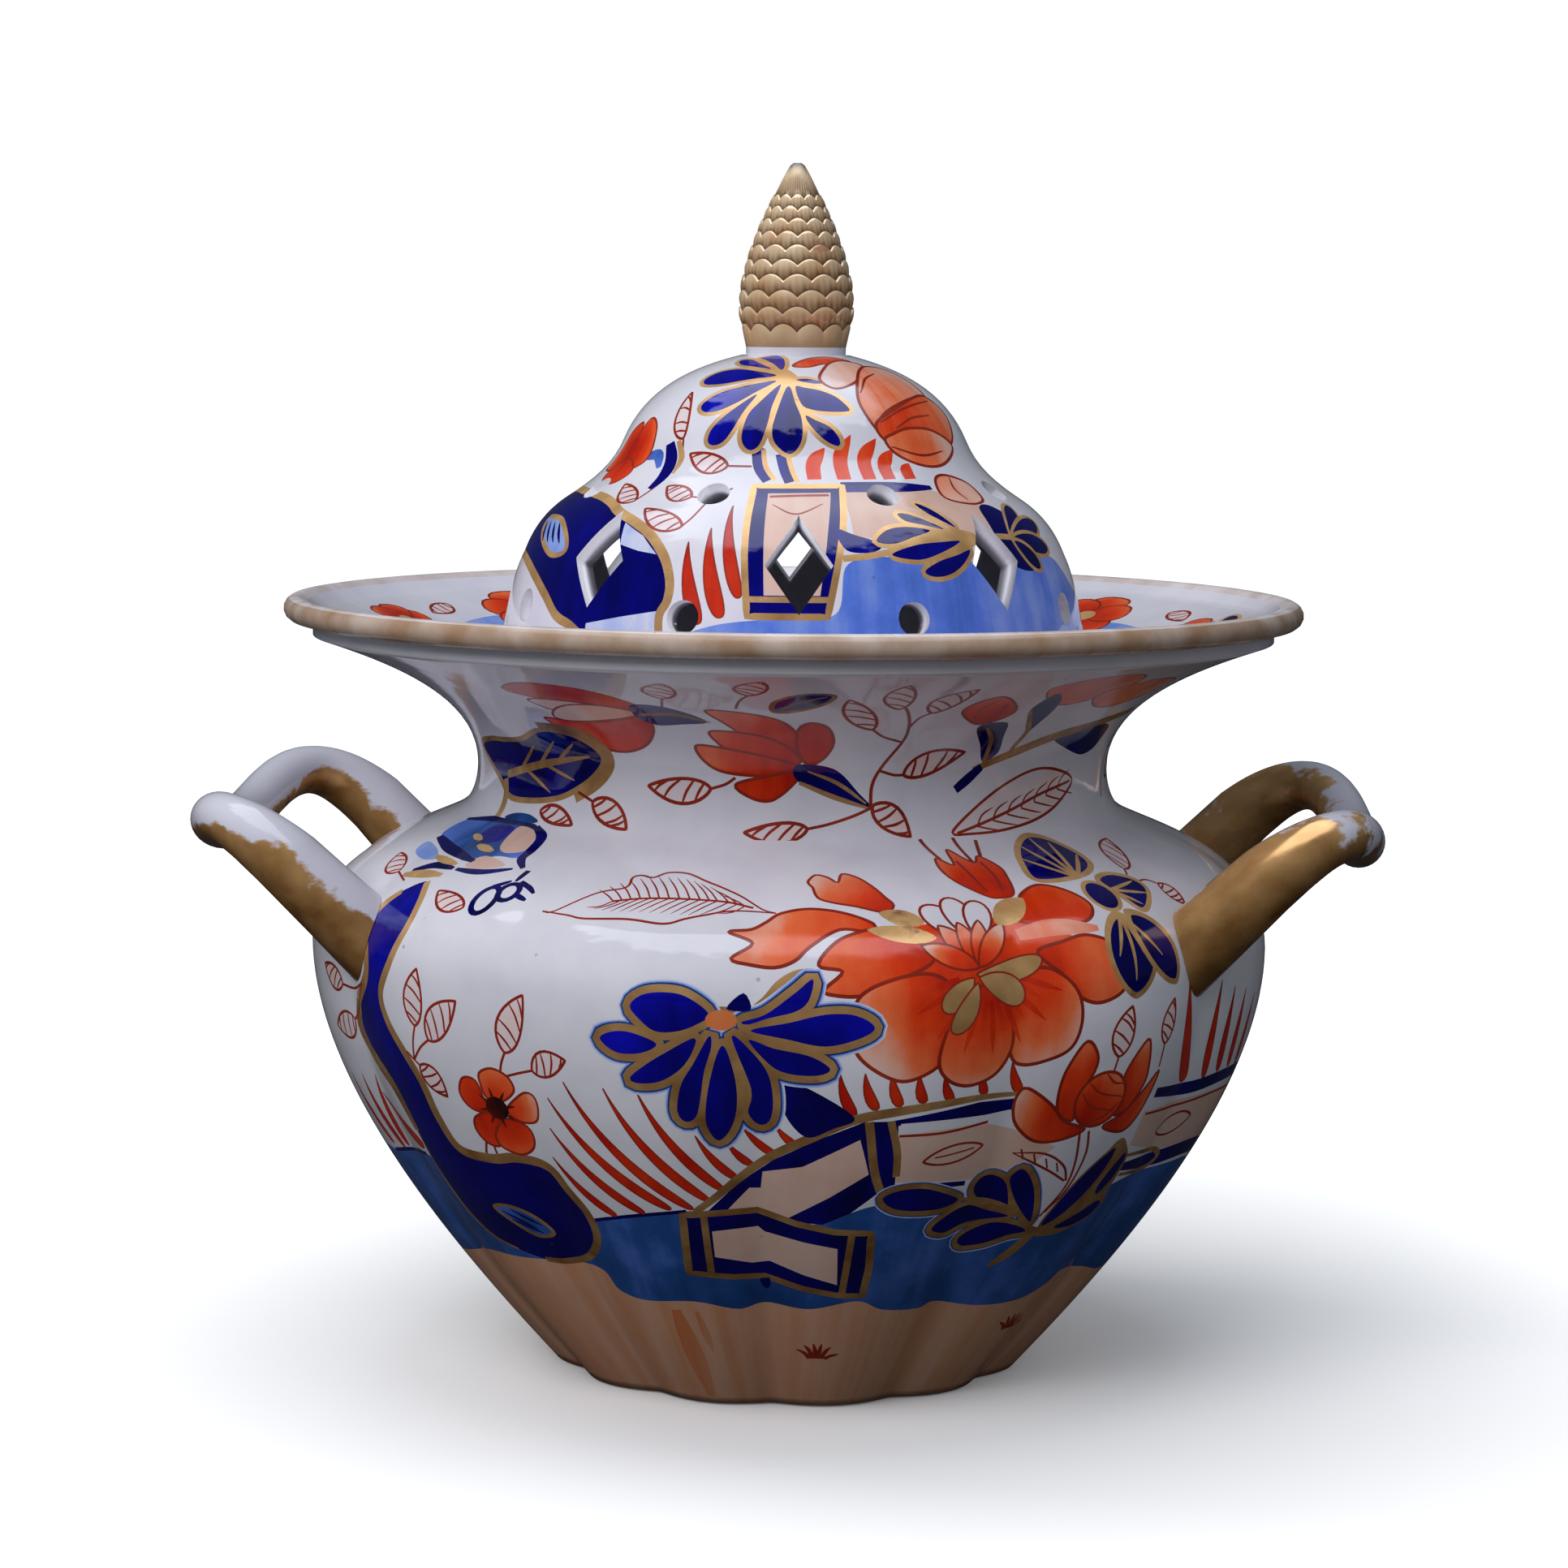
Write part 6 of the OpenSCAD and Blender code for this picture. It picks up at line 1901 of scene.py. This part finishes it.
    def frame_panel(self, brush: Brush) -> None:
        """The framed panel round the front diamond."""
        outline = polygon([(-8, 50.8), (17.4, 51), (14.6, 37), (10.4, 19.4), (-5.6, 19.4), (-7, 32)])
        brush.fill(outline, Paint.COBALT, tones=(0.3, 0.3))
        brush.panel([(-3.6, 48.6), (13.6, 49), (11.4, 38), (9, 23.6), (-2.4, 23.6), (-3, 34)], Paint.SALMON)
        brush.edge(outline, 1.4, Paint.GILT)
        brush.stroke([(-6, 22.8), (11, 22.8)], 1.2, Paint.GILT)
        brush.stroke([(-3, 47.6), (5, 48), (13, 48.2)], 0.7, Paint.LINE)
        brush.stroke([(-2, 45), (4, 42), (11, 45.4)], 0.5, Paint.LINE, (0.5, 0.5))

    def right_leaves(self, brush: Brush) -> None:
        """The blue and gilt leaves on the right of the front diamond."""
        brush.stroke([(14, 31.2), (20, 31.8), (26, 32.8)], 1.4, Paint.GILT)
        brush.blob([(15, 33), (13, 38), (17, 36.6), (23, 34.4), (21, 32.6)], Paint.COBALT, tones=(0.6, 0.6))
        brush.blob([(34, 37), (40, 38), (48, 36.4), (48, 34), (42, 32.4), (34, 32)], Paint.GILT)
        brush.leaves((
            [(22, 35), (25, 37.6), (30, 38.4), (36, 37.4), (31, 35.8), (26, 34.4)],
            [(29.4, 42), (32, 42), (37, 39.6), (40, 37.6), (35, 38.8), (30.6, 40)],
            [(36.2, 45.4), (39, 44), (42, 40.6), (43.6, 38), (40.4, 40), (37.4, 42.6)],
            [(25, 32), (31, 34), (38, 34.6), (43, 34.6), (37, 32.2), (31, 30.8)],
            [(32, 28.4), (36, 30.4), (41, 31.6), (45, 32.6), (42, 29.6), (38, 27.6), (34, 27.2)]), 1.0, 0.0,
            tones=(0.5, 0.5))
        for tip, width in (((72, 43), 4.0), ((78, 38), 4.4), ((76, 32), 4.4), ((68, 28), 3.8)):
            brush.gilded((60, 35), tip, width, 0.8, 0.55, 0.9)
        brush.stroke([(47, 34.4), (54, 35.4), (61, 35)], 1.4, Paint.GILT)

    def sprigs(self, brush: Brush) -> None:
        """The small leaves, the blue crescent and the flower on the left."""
        for base, tip, width in (
                ((-42, 45), (-53, 50), 4.6), ((-25, 47), (-35, 50), 4.6), ((-23, 38), (-36, 42.6), 4.8),
                ((-18, 56), (-33, 58.6), 4.6), ((-38, 62), (-47, 73.6), 5.6)):
            brush.leaf(base, tip, width)
        brush.strokes((
            [(-14, 50), (-19, 47), (-25, 47)], [(-19, 47), (-21, 41), (-23, 38)], [(-38, 52), (-42, 45)],
            [(-10, 56), (-18, 56)], [(-36, 58), (-38, 62)]), 0.5, Paint.LINE)
        for curl, width, paint in (
                ([(-52, 57.6), (-47, 58), (-43.6, 55)], 2.6, Paint.WASH),
                ([(-43.4, 60.8), (-40, 57), (-39.4, 53), (-41, 49)], 3.2, Paint.COBALT),
                ([(-39.8, 61.4), (-36, 57.6), (-36.4, 53.6)], 1.5, Paint.GILT)):
            brush.stroke(curl, width, paint, (0.7, 0.4), (0.4, 0.4))
        for points in ([(-78, 54), (-74, 62), (-66, 65), (-63, 59), (-68, 54)],
                       [(-66, 58), (-62, 66), (-54, 64), (-52, 57), (-60, 54)],
                       [(-72, 53), (-64, 57), (-56, 54), (-60, 50), (-68, 50)]):
            brush.flesh(spline(points, True), (-64, 57), 13, (0.0, 0.6), 0.5)
        for x, rise, lean in (
                (9.5, 7.6, 4.0), (18.5, 10.4, 4.6), (26.6, 9.6, 5.8), (33.2, 7.2, 4.8), (40.6, 4.0, 2.2)):
            brush.stroke([
                (x, 52.8), (x + 0.1, 52.8 + 0.55 * rise), (x + lean, 52.8 + rise)], 3.0, Paint.RED, (0.95, 0.05),
                (0.25, 0.25))

    def crown_leaf(self, brush: Brush) -> None:
        """The palm leaf on the upper dome with its two stems."""
        for stem in ([(-8.8, 60), (-7.4, 56), (-4, 52.4)], [(-0.6, 59), (0.8, 55.4), (2.6, 52)]):
            brush.stroke(stem, 2.6, Paint.COBALT, tones=(0.5, 0.5))
            brush.stroke([(x + 1.9, y) for x, y in stem], 1.0, Paint.GILT)
        brush.blob([(-14, 82), (-4, 84), (6, 79), (12, 71), (6, 66), (-5, 66), (-16, 68), (-22, 74)], Paint.GILT)
        brush.leaves((
            [(-30, 90), (-22, 88.6), (-12, 86), (-5, 83), (-4, 86), (-8, 90), (-18, 92)],
            [(-46, 88), (-36, 88.6), (-26, 87), (-12, 83.6), (-26, 84.6), (-38, 85.6)],
            [(-48, 78.6), (-44, 81.6), (-34, 83), (-22, 82.4), (-7, 80.4), (-20, 78.6), (-34, 76.6), (-44, 76.4)],
            [(-36, 69.8), (-33, 72.6), (-26, 75), (-14, 77.2), (-6, 78), (-14, 74), (-20, 71), (-27, 68.6),
             (-33, 68.2)],
            [(-27.4, 61.4), (-27.4, 63.6), (-25, 66.2), (-20, 69.6), (-13, 73.4), (-16.4, 68.4), (-19, 64),
             (-21.6, 61.4), (-25, 60.6)],
            [(-15, 62.2), (-14.4, 67.4), (-11, 71), (-3.4, 76.8), (-5.5, 70.2), (-6.5, 65.2), (-8.6, 60.8),
             (-12, 59.8)],
            [(-4.5, 64.2), (-3.5, 68.2), (-0.6, 75.6), (1.4, 75.6), (3.5, 71.2), (6, 66.7), (5.8, 61.8), (2, 59),
             (-3, 61.2)],
            [(7.5, 67.7), (11, 66.6), (16, 65), (19, 62.4), (18.5, 60.8), (14, 62), (9, 65.4)],
            [(3.6, 76), (8, 75.7), (15, 74.7), (21, 72.7), (25, 69.4), (23, 68.7), (16, 68.7), (10, 69.2), (6, 70.7)],
            [(4, 78.6), (10, 79), (19, 77.6), (12, 77.2)]), 0.95, 0.0, (0, 60), 30, (0.2, 0.9))

    def peony(self, brush: Brush) -> None:
        """The red peony on the right of the upper dome."""
        heart = (48.0, 66.0)
        for points, tones, reach in (
                ([(2, 85), (7, 88), (20, 90.6), (40, 91), (52, 88), (40, 86), (24, 86.4), (12, 84.6)],
                  (0.5, 0.3), 34),
                ([(16, 79), (21, 83.4), (30, 87), (44, 88.4), (56, 86), (44, 81), (30, 76.6), (21, 75.6)],
                  (1.0, 1.15), 30),
                ([(36, 62), (31.6, 67), (30.5, 72.2), (36, 78.2), (46, 83), (60, 85), (76, 82), (74, 73), (58, 72),
                  (42, 69), (34, 65)], (0.8, 1.16), 34),
                ([(34, 65.6), (45, 69.2), (60, 72.2), (73, 72.7), (79, 68), (72, 61.6), (60, 60), (46, 60),
                  (37, 61.4)], (0.3, 0.86), 30),
                ([(36, 62), (40, 58.6), (50, 56), (60, 56.6), (70, 60.4), (60, 64), (48, 64.6), (40, 63.4)],
                  (0.6, 1.1), 22),
                ([(48, 47), (50, 52.4), (56, 53.6), (64, 51), (63, 46), (56, 44.6)], (0.7, 1.0), 20)):
            brush.flesh(spline(points, True), heart, reach, tones, 0.7)
        brush.strokes((
            [(36, 66), (48, 69), (60, 70.6), (72, 71.4)], [(38, 60.6), (50, 58.6), (62, 59.4)],
            [(42, 64.6), (52, 67), (64, 67.6)], [(33, 74), (42, 79), (54, 81.4)], [(56, 46), (55, 49.6), (57, 53)]),
            0.6, Paint.LINE, (0.5, 0.4))


@dataclass
class CoverFlange:
    """The ring under the cover that drops into the throat.

    Attributes:
        inner_r: Radius inside it.
        outer_r: Radius outside it.
        top: Height of the seat.
        depth: How far it reaches down.
        chamfer: Chamfer of its lower edge.
    """

    inner_r: float = 50.4
    outer_r: float = 54.4
    top: float = 141.2
    depth: float = 8.0
    chamfer: float = 1.0

    def build(self) -> Object:
        """Turns the ring."""
        low = self.top - self.depth
        bm = spun([(self.inner_r, low), (self.outer_r - self.chamfer, low), (self.outer_r, low + self.chamfer),
                   (self.outer_r, self.top), (self.inner_r, self.top)], ROUND_STEPS)
        return piece(bm, "cover_flange", [paints()[0]], "lid", "cover_flange")


@dataclass
class Finial:
    """The bud finial with its rows of upward scales.

    Attributes:
        base_z: Height of its foot.
        height: Its height.
        rows: Rows of scales.
        scales: Scales in a row.
        start: Height of the first row's edge.
        end: Height from the last row's edge to the tip.
        arch: Rise of a scale's rounded edge.
        step: How far an edge stands proud of the next row.
        curves: Control points of its outline, as radius and height above its foot.
        turn: Its turn with the cover, in degrees.
        steps: Points across a scale.
        ribs: Ribs up each scale.
        rib_depth: Depth of the furrows between ribs.
        puff: Swell of a scale's middle.
        band: Height of the plain band at its foot.
    """

    base_z: float = 210.6
    height: float = 39.4
    rows: int = 10
    scales: int = 12
    start: float = 4.6
    end: float = 7.5
    arch: float = 1.7
    step: float = 0.5
    curves: tuple[tuple[Point, ...], ...] = (
        ((10.3, 0.0), (10.3, 4.2), (11.9, 6.0), (11.9, 10.2)), ((11.9, 10.2), (11.9, 19.2), (5.8, 31.9), (1.2, 39.4)))
    turn: float = 4.5
    steps: int = 16
    ribs: int = 4
    rib_depth: float = 0.16
    puff: float = 0.34
    band: float = 1.6

    def profile(self) -> np.ndarray:
        """The bud's outline as radius and height above its foot."""
        return np.concatenate([cubic(*points) for points in self.curves])

    def edge(self, row: int, angle: np.ndarray) -> np.ndarray:
        """Height of a row's scalloped edge at angles, in turns of a scale."""
        x = row / (self.rows - 1)
        level = self.start + (self.height - self.end - self.start) * x * (1 + 0.22 * (1 - x))
        across = 2 * ((angle + row / 2) % 1.0) - 1
        return level + self.arch * (1 - across ** 2) * (1 - 0.5 * row / self.rows)

    def build(self) -> Object:
        """Lofts the bud through the edges and the hollows of its rows, with painted shade in the hollows."""
        profile = self.profile()
        count = self.scales * self.steps
        share = np.arange(count) / self.steps
        rings, shade_depths = [], []

        def ring(z: np.ndarray, sunk: np.ndarray | float, depth: np.ndarray | float) -> None:
            """Adds a ring that follows the bud's outline, sunk into it, with an amount of painted shade for its
            points.
            """
            radius = np.interp(z, profile[:, 1], profile[:, 0]) - sunk
            angle = 2 * math.pi * share / self.scales + math.radians(self.turn)
            rings.append(MM * np.stack([radius * np.cos(angle), radius * np.sin(angle), z + self.base_z], 1))
            shade_depths.append(np.zeros(count) + depth)

        # The last value given to each ring is painted shade: darkest just under a scale's proud edge, fading up the
        # scale, and deeper in the furrows.
        flat = np.zeros(count)
        ring(flat, 0.0, 0.3)
        ring(flat + 0.4, -0.05, 0.3)
        ring(flat + self.band, 0.0, 0.45)
        for row in range(self.rows):
            low = self.edge(row, share)
            fall = self.step * (1 - 0.65 * row / self.rows)
            last = row == self.rows - 1
            high = flat + self.height - 1.2 if last else self.edge(row + 1, share)
            across = 2 * ((share + (row + 1) / 2) % 1.0) - 1
            puff = 0.0 if last else self.puff * (1 - across ** 2) * (1 - 0.5 * row / self.rows)
            ribs = 0.5 + 0.5 * np.cos(2 * math.pi * self.ribs * share)
            ring(low - 0.25, -0.06, 0.0)
            ring(low, 0.06, 0.0)
            ring(low + 0.12, fall, 0.9)
            for at, depth in ((0.2, 0.75), (0.42, 0.5), (0.66, 0.25), (0.86, 0.05)):
                arc = math.sin(math.pi * at)
                sunk = fall * (1 - at) ** 1.4 - puff * arc + self.rib_depth * ribs * arc
                ring(low + 0.12 + at * (high - low - 0.4), sunk, depth * (0.55 + 0.45 * ribs))
        ring(flat + self.height - 0.5, 0.0, 0.75)
        ring(flat + self.height, 0.35, 0.9)
        bm = loft(rings, [MM * np.array([0, 0, self.base_z]), MM * np.array([0, 0, self.base_z + self.height])])
        # The painted shade is stored on the points under the name recess.
        shade_layer = bm.verts.layers.float.new("recess")
        bm.verts.ensure_lookup_table()
        for vert, depth in zip(bm.verts, np.concatenate(shade_depths)):
            vert[shade_layer] = float(depth)
        for face in bm.faces:
            rise = face.calc_center_median().z / MM - self.base_z
            face.material_index = 1 if rise < self.band else 2 if rise > self.height - 1.3 else 0
        # Its recess colour is the painted shade in the hollows under the scales and in the furrows.
        finish = Gilding(
            "finial gilding", (srgb(0.86, 0.62, 0.38), srgb(1.0, 0.92, 0.78)), srgb(0.74, 0.54, 0.40), wear=0.14,
            recess=srgb(0.36, 0.20, 0.08), metal=0.2, roughness=(0.14, 0.24))
        worn = Enamel("worn tip", (srgb(0.26, 0.27, 0.28), srgb(0.42, 0.43, 0.45), srgb(0.56, 0.58, 0.62)), base=0.5,
                      streaks=0.2, pools=0.6, roughness=(0.2, 0.35))
        return piece(
            bm, "bud_finial", [finish.material(), paints()[0], worn.material()], "lid", "finial",
            crease=40.0)


@dataclass(frozen=True)
class Studio:
    """The camera, the light and the floor.

    Attributes:
        distance: Level distance of the camera from the vase's axis, in metres.
        azimuth: Its turn round the vase towards +X, in degrees.
        height: Its height, in metres.
        pitch: How far it looks down, in degrees.
        aim: How far it looks past the axis to the left, in degrees.
        roll: Its roll, in degrees.
        lens: Its focal length on a 36 mm sensor.
        treeline: Where dark trees end and open sky starts, by how far up a direction points.
        fade: Distances from the vase's axis over which the floor fades into white, in metres.
    """

    distance: float = 0.86
    azimuth: float = 3.5
    height: float = 0.2183
    pitch: float = 6.46
    aim: float = 0.113
    roll: float = 0.5
    lens: float = 94.6
    treeline: Point = (0.81, 0.85)
    fade: Point = (0.08, 0.26)

    def build(self) -> None:
        """Sets up everything round the vase."""
        self.camera()
        self.world()
        self.lamp("key", (-0.8, 0.25, 1.3), 0.6, 4.0, (1.0, 0.98, 0.95))
        self.lamp("front", (-0.52, -1.12, 1.04), 1.0, 13.2, (0.99, 0.98, 1.0))
        self.floor()

    def camera(self) -> None:
        """Places the camera where the photograph was taken from."""
        data = bpy.data.cameras.new("camera")
        data.lens, data.sensor_width = self.lens, 36.0
        camera = linked("camera", data)
        angle = math.radians(self.azimuth)
        turn = (Matrix.Rotation(angle + math.radians(self.aim), 4, "Z")
                @ Matrix.Rotation(math.radians(90 - self.pitch), 4, "X")
                @ Matrix.Rotation(math.radians(self.roll), 4, "Z"))
        place = (self.distance * math.sin(angle), -self.distance * math.cos(angle), self.height)
        camera.matrix_world = Matrix.Translation(place) @ turn
        bpy.context.scene.camera = camera

    def world(self) -> None:
        """A pale sky that the camera sees as plain white, and the glaze as open sky over dark trees."""
        scene = bpy.context.scene
        scene.world = bpy.data.worlds.new("sky")
        scene.world.use_nodes = True
        scene.world.node_tree.nodes.clear()
        graph = Graph(scene.world.node_tree)
        way = graph.add("ShaderNodeTexCoord").outputs["Generated"]
        rise = graph.add("ShaderNodeSeparateXYZ", {0: way}).outputs[2]
        sky = graph.ramp(graph.range(rise, -0.1, 1.0), ((0.21, 0.22, 0.24), (0.37, 0.40, 0.44), (0.44, 0.47, 0.52)))
        tops = graph.range(graph.noise(way, 9.0, 6.0), 0.25, 0.75, -0.06, 0.06)
        clear = graph.range(graph.math("ADD", rise, tops), *self.treeline)
        mirror = graph.mix(clear, (0.04, 0.045, 0.04), (2.6, 2.75, 3.05))
        path = graph.add("ShaderNodeLightPath").outputs
        colour = graph.mix(path["Is Glossy Ray"], sky, mirror)
        colour = graph.mix(path["Is Camera Ray"], colour, (1.0, 1.0, 1.0))
        back = graph.add("ShaderNodeBackground", {"Color": colour, "Strength": 1.0})
        graph.add("ShaderNodeOutputWorld", {"Surface": back.outputs[0]})
        scene.view_settings.view_transform = "Standard"
        scene.view_settings.look = "None"

    def lamp(self, name: str, place: Sequence[float], size: float, power: float, colour: Colour) -> None:
        """A soft square lamp that looks at the vase."""
        data = bpy.data.lights.new(name, "AREA")
        data.size, data.energy, data.color = size, power, colour
        lamp = linked(name, data)
        lamp.visible_glossy = False
        aim = Vector((0, 0, 0.12)) - Vector(place)
        lamp.matrix_world = Matrix.Translation(place) @ aim.to_track_quat("-Z", "Y").to_matrix().to_4x4()

    def floor(self) -> None:
        """A wide white floor that throws little light back up and fades into the white beyond."""
        bm = bmesh.new()
        bmesh.ops.create_grid(bm, x_segments=1, y_segments=1, size=30.0)
        mesh = bpy.data.meshes.new("floor")
        bm.to_mesh(mesh)
        bm.free()
        material, graph, shader = blank_material("floor")
        path = graph.add("ShaderNodeLightPath").outputs
        seen = path["Is Camera Ray"]
        dark = graph.mix(path["Is Glossy Ray"], (0.09, 0.09, 0.08), (0.03, 0.03, 0.03))
        graph.feed(shader, "Base Color", graph.mix(seen, dark, (0.95, 0.95, 0.95)))
        far = graph.add("ShaderNodeVectorMath", {0: graph.place()}, operation="LENGTH").outputs["Value"]
        graph.feed(shader, "Emission Color", (1.0, 1.0, 1.0, 1.0))
        glow = graph.range(far, *self.fade, 0.08, 0.7)
        graph.feed(shader, "Emission Strength", graph.math("MULTIPLY", seen, glow))
        graph.feed(shader, "Roughness", 0.9)
        graph.feed(shader, "Specular IOR Level", 0.0)
        mesh.materials.append(material)
        floor = linked("floor", mesh)


def main() -> None:
    """Builds every piece and the studio."""
    logging.basicConfig(level=logging.INFO, format="%(name)s: %(message)s")
    bowl = Bowl()
    bowl.build()
    FootDisc().build()
    Neck().build()
    pale = srgb(0.84, 0.84, 0.89)
    # The pale glaze under the handles' gold also stands for the sky's reflection on their tops and a highlight at
    # their bends, as painted reflection and painted highlight.
    right = Gilding("right handle gilding", GOLD, pale, wear=0.06, top_wear_and_reflection=0.18, bend_wear_and_highlight=0.36, metal=0.5)
    left = Gilding("left handle gilding", GOLD, pale, wear=0.24, top_wear_and_reflection=0.6, bend_wear_and_highlight=0.44, metal=0.45)
    for side, finish in ((1, right), (-1, left)):
        Handle(side, finish).build(bowl)
    Cover().build()
    CoverFlange().build()
    Finial().build()
    Studio().build()


if __name__ == "__main__":
    main()
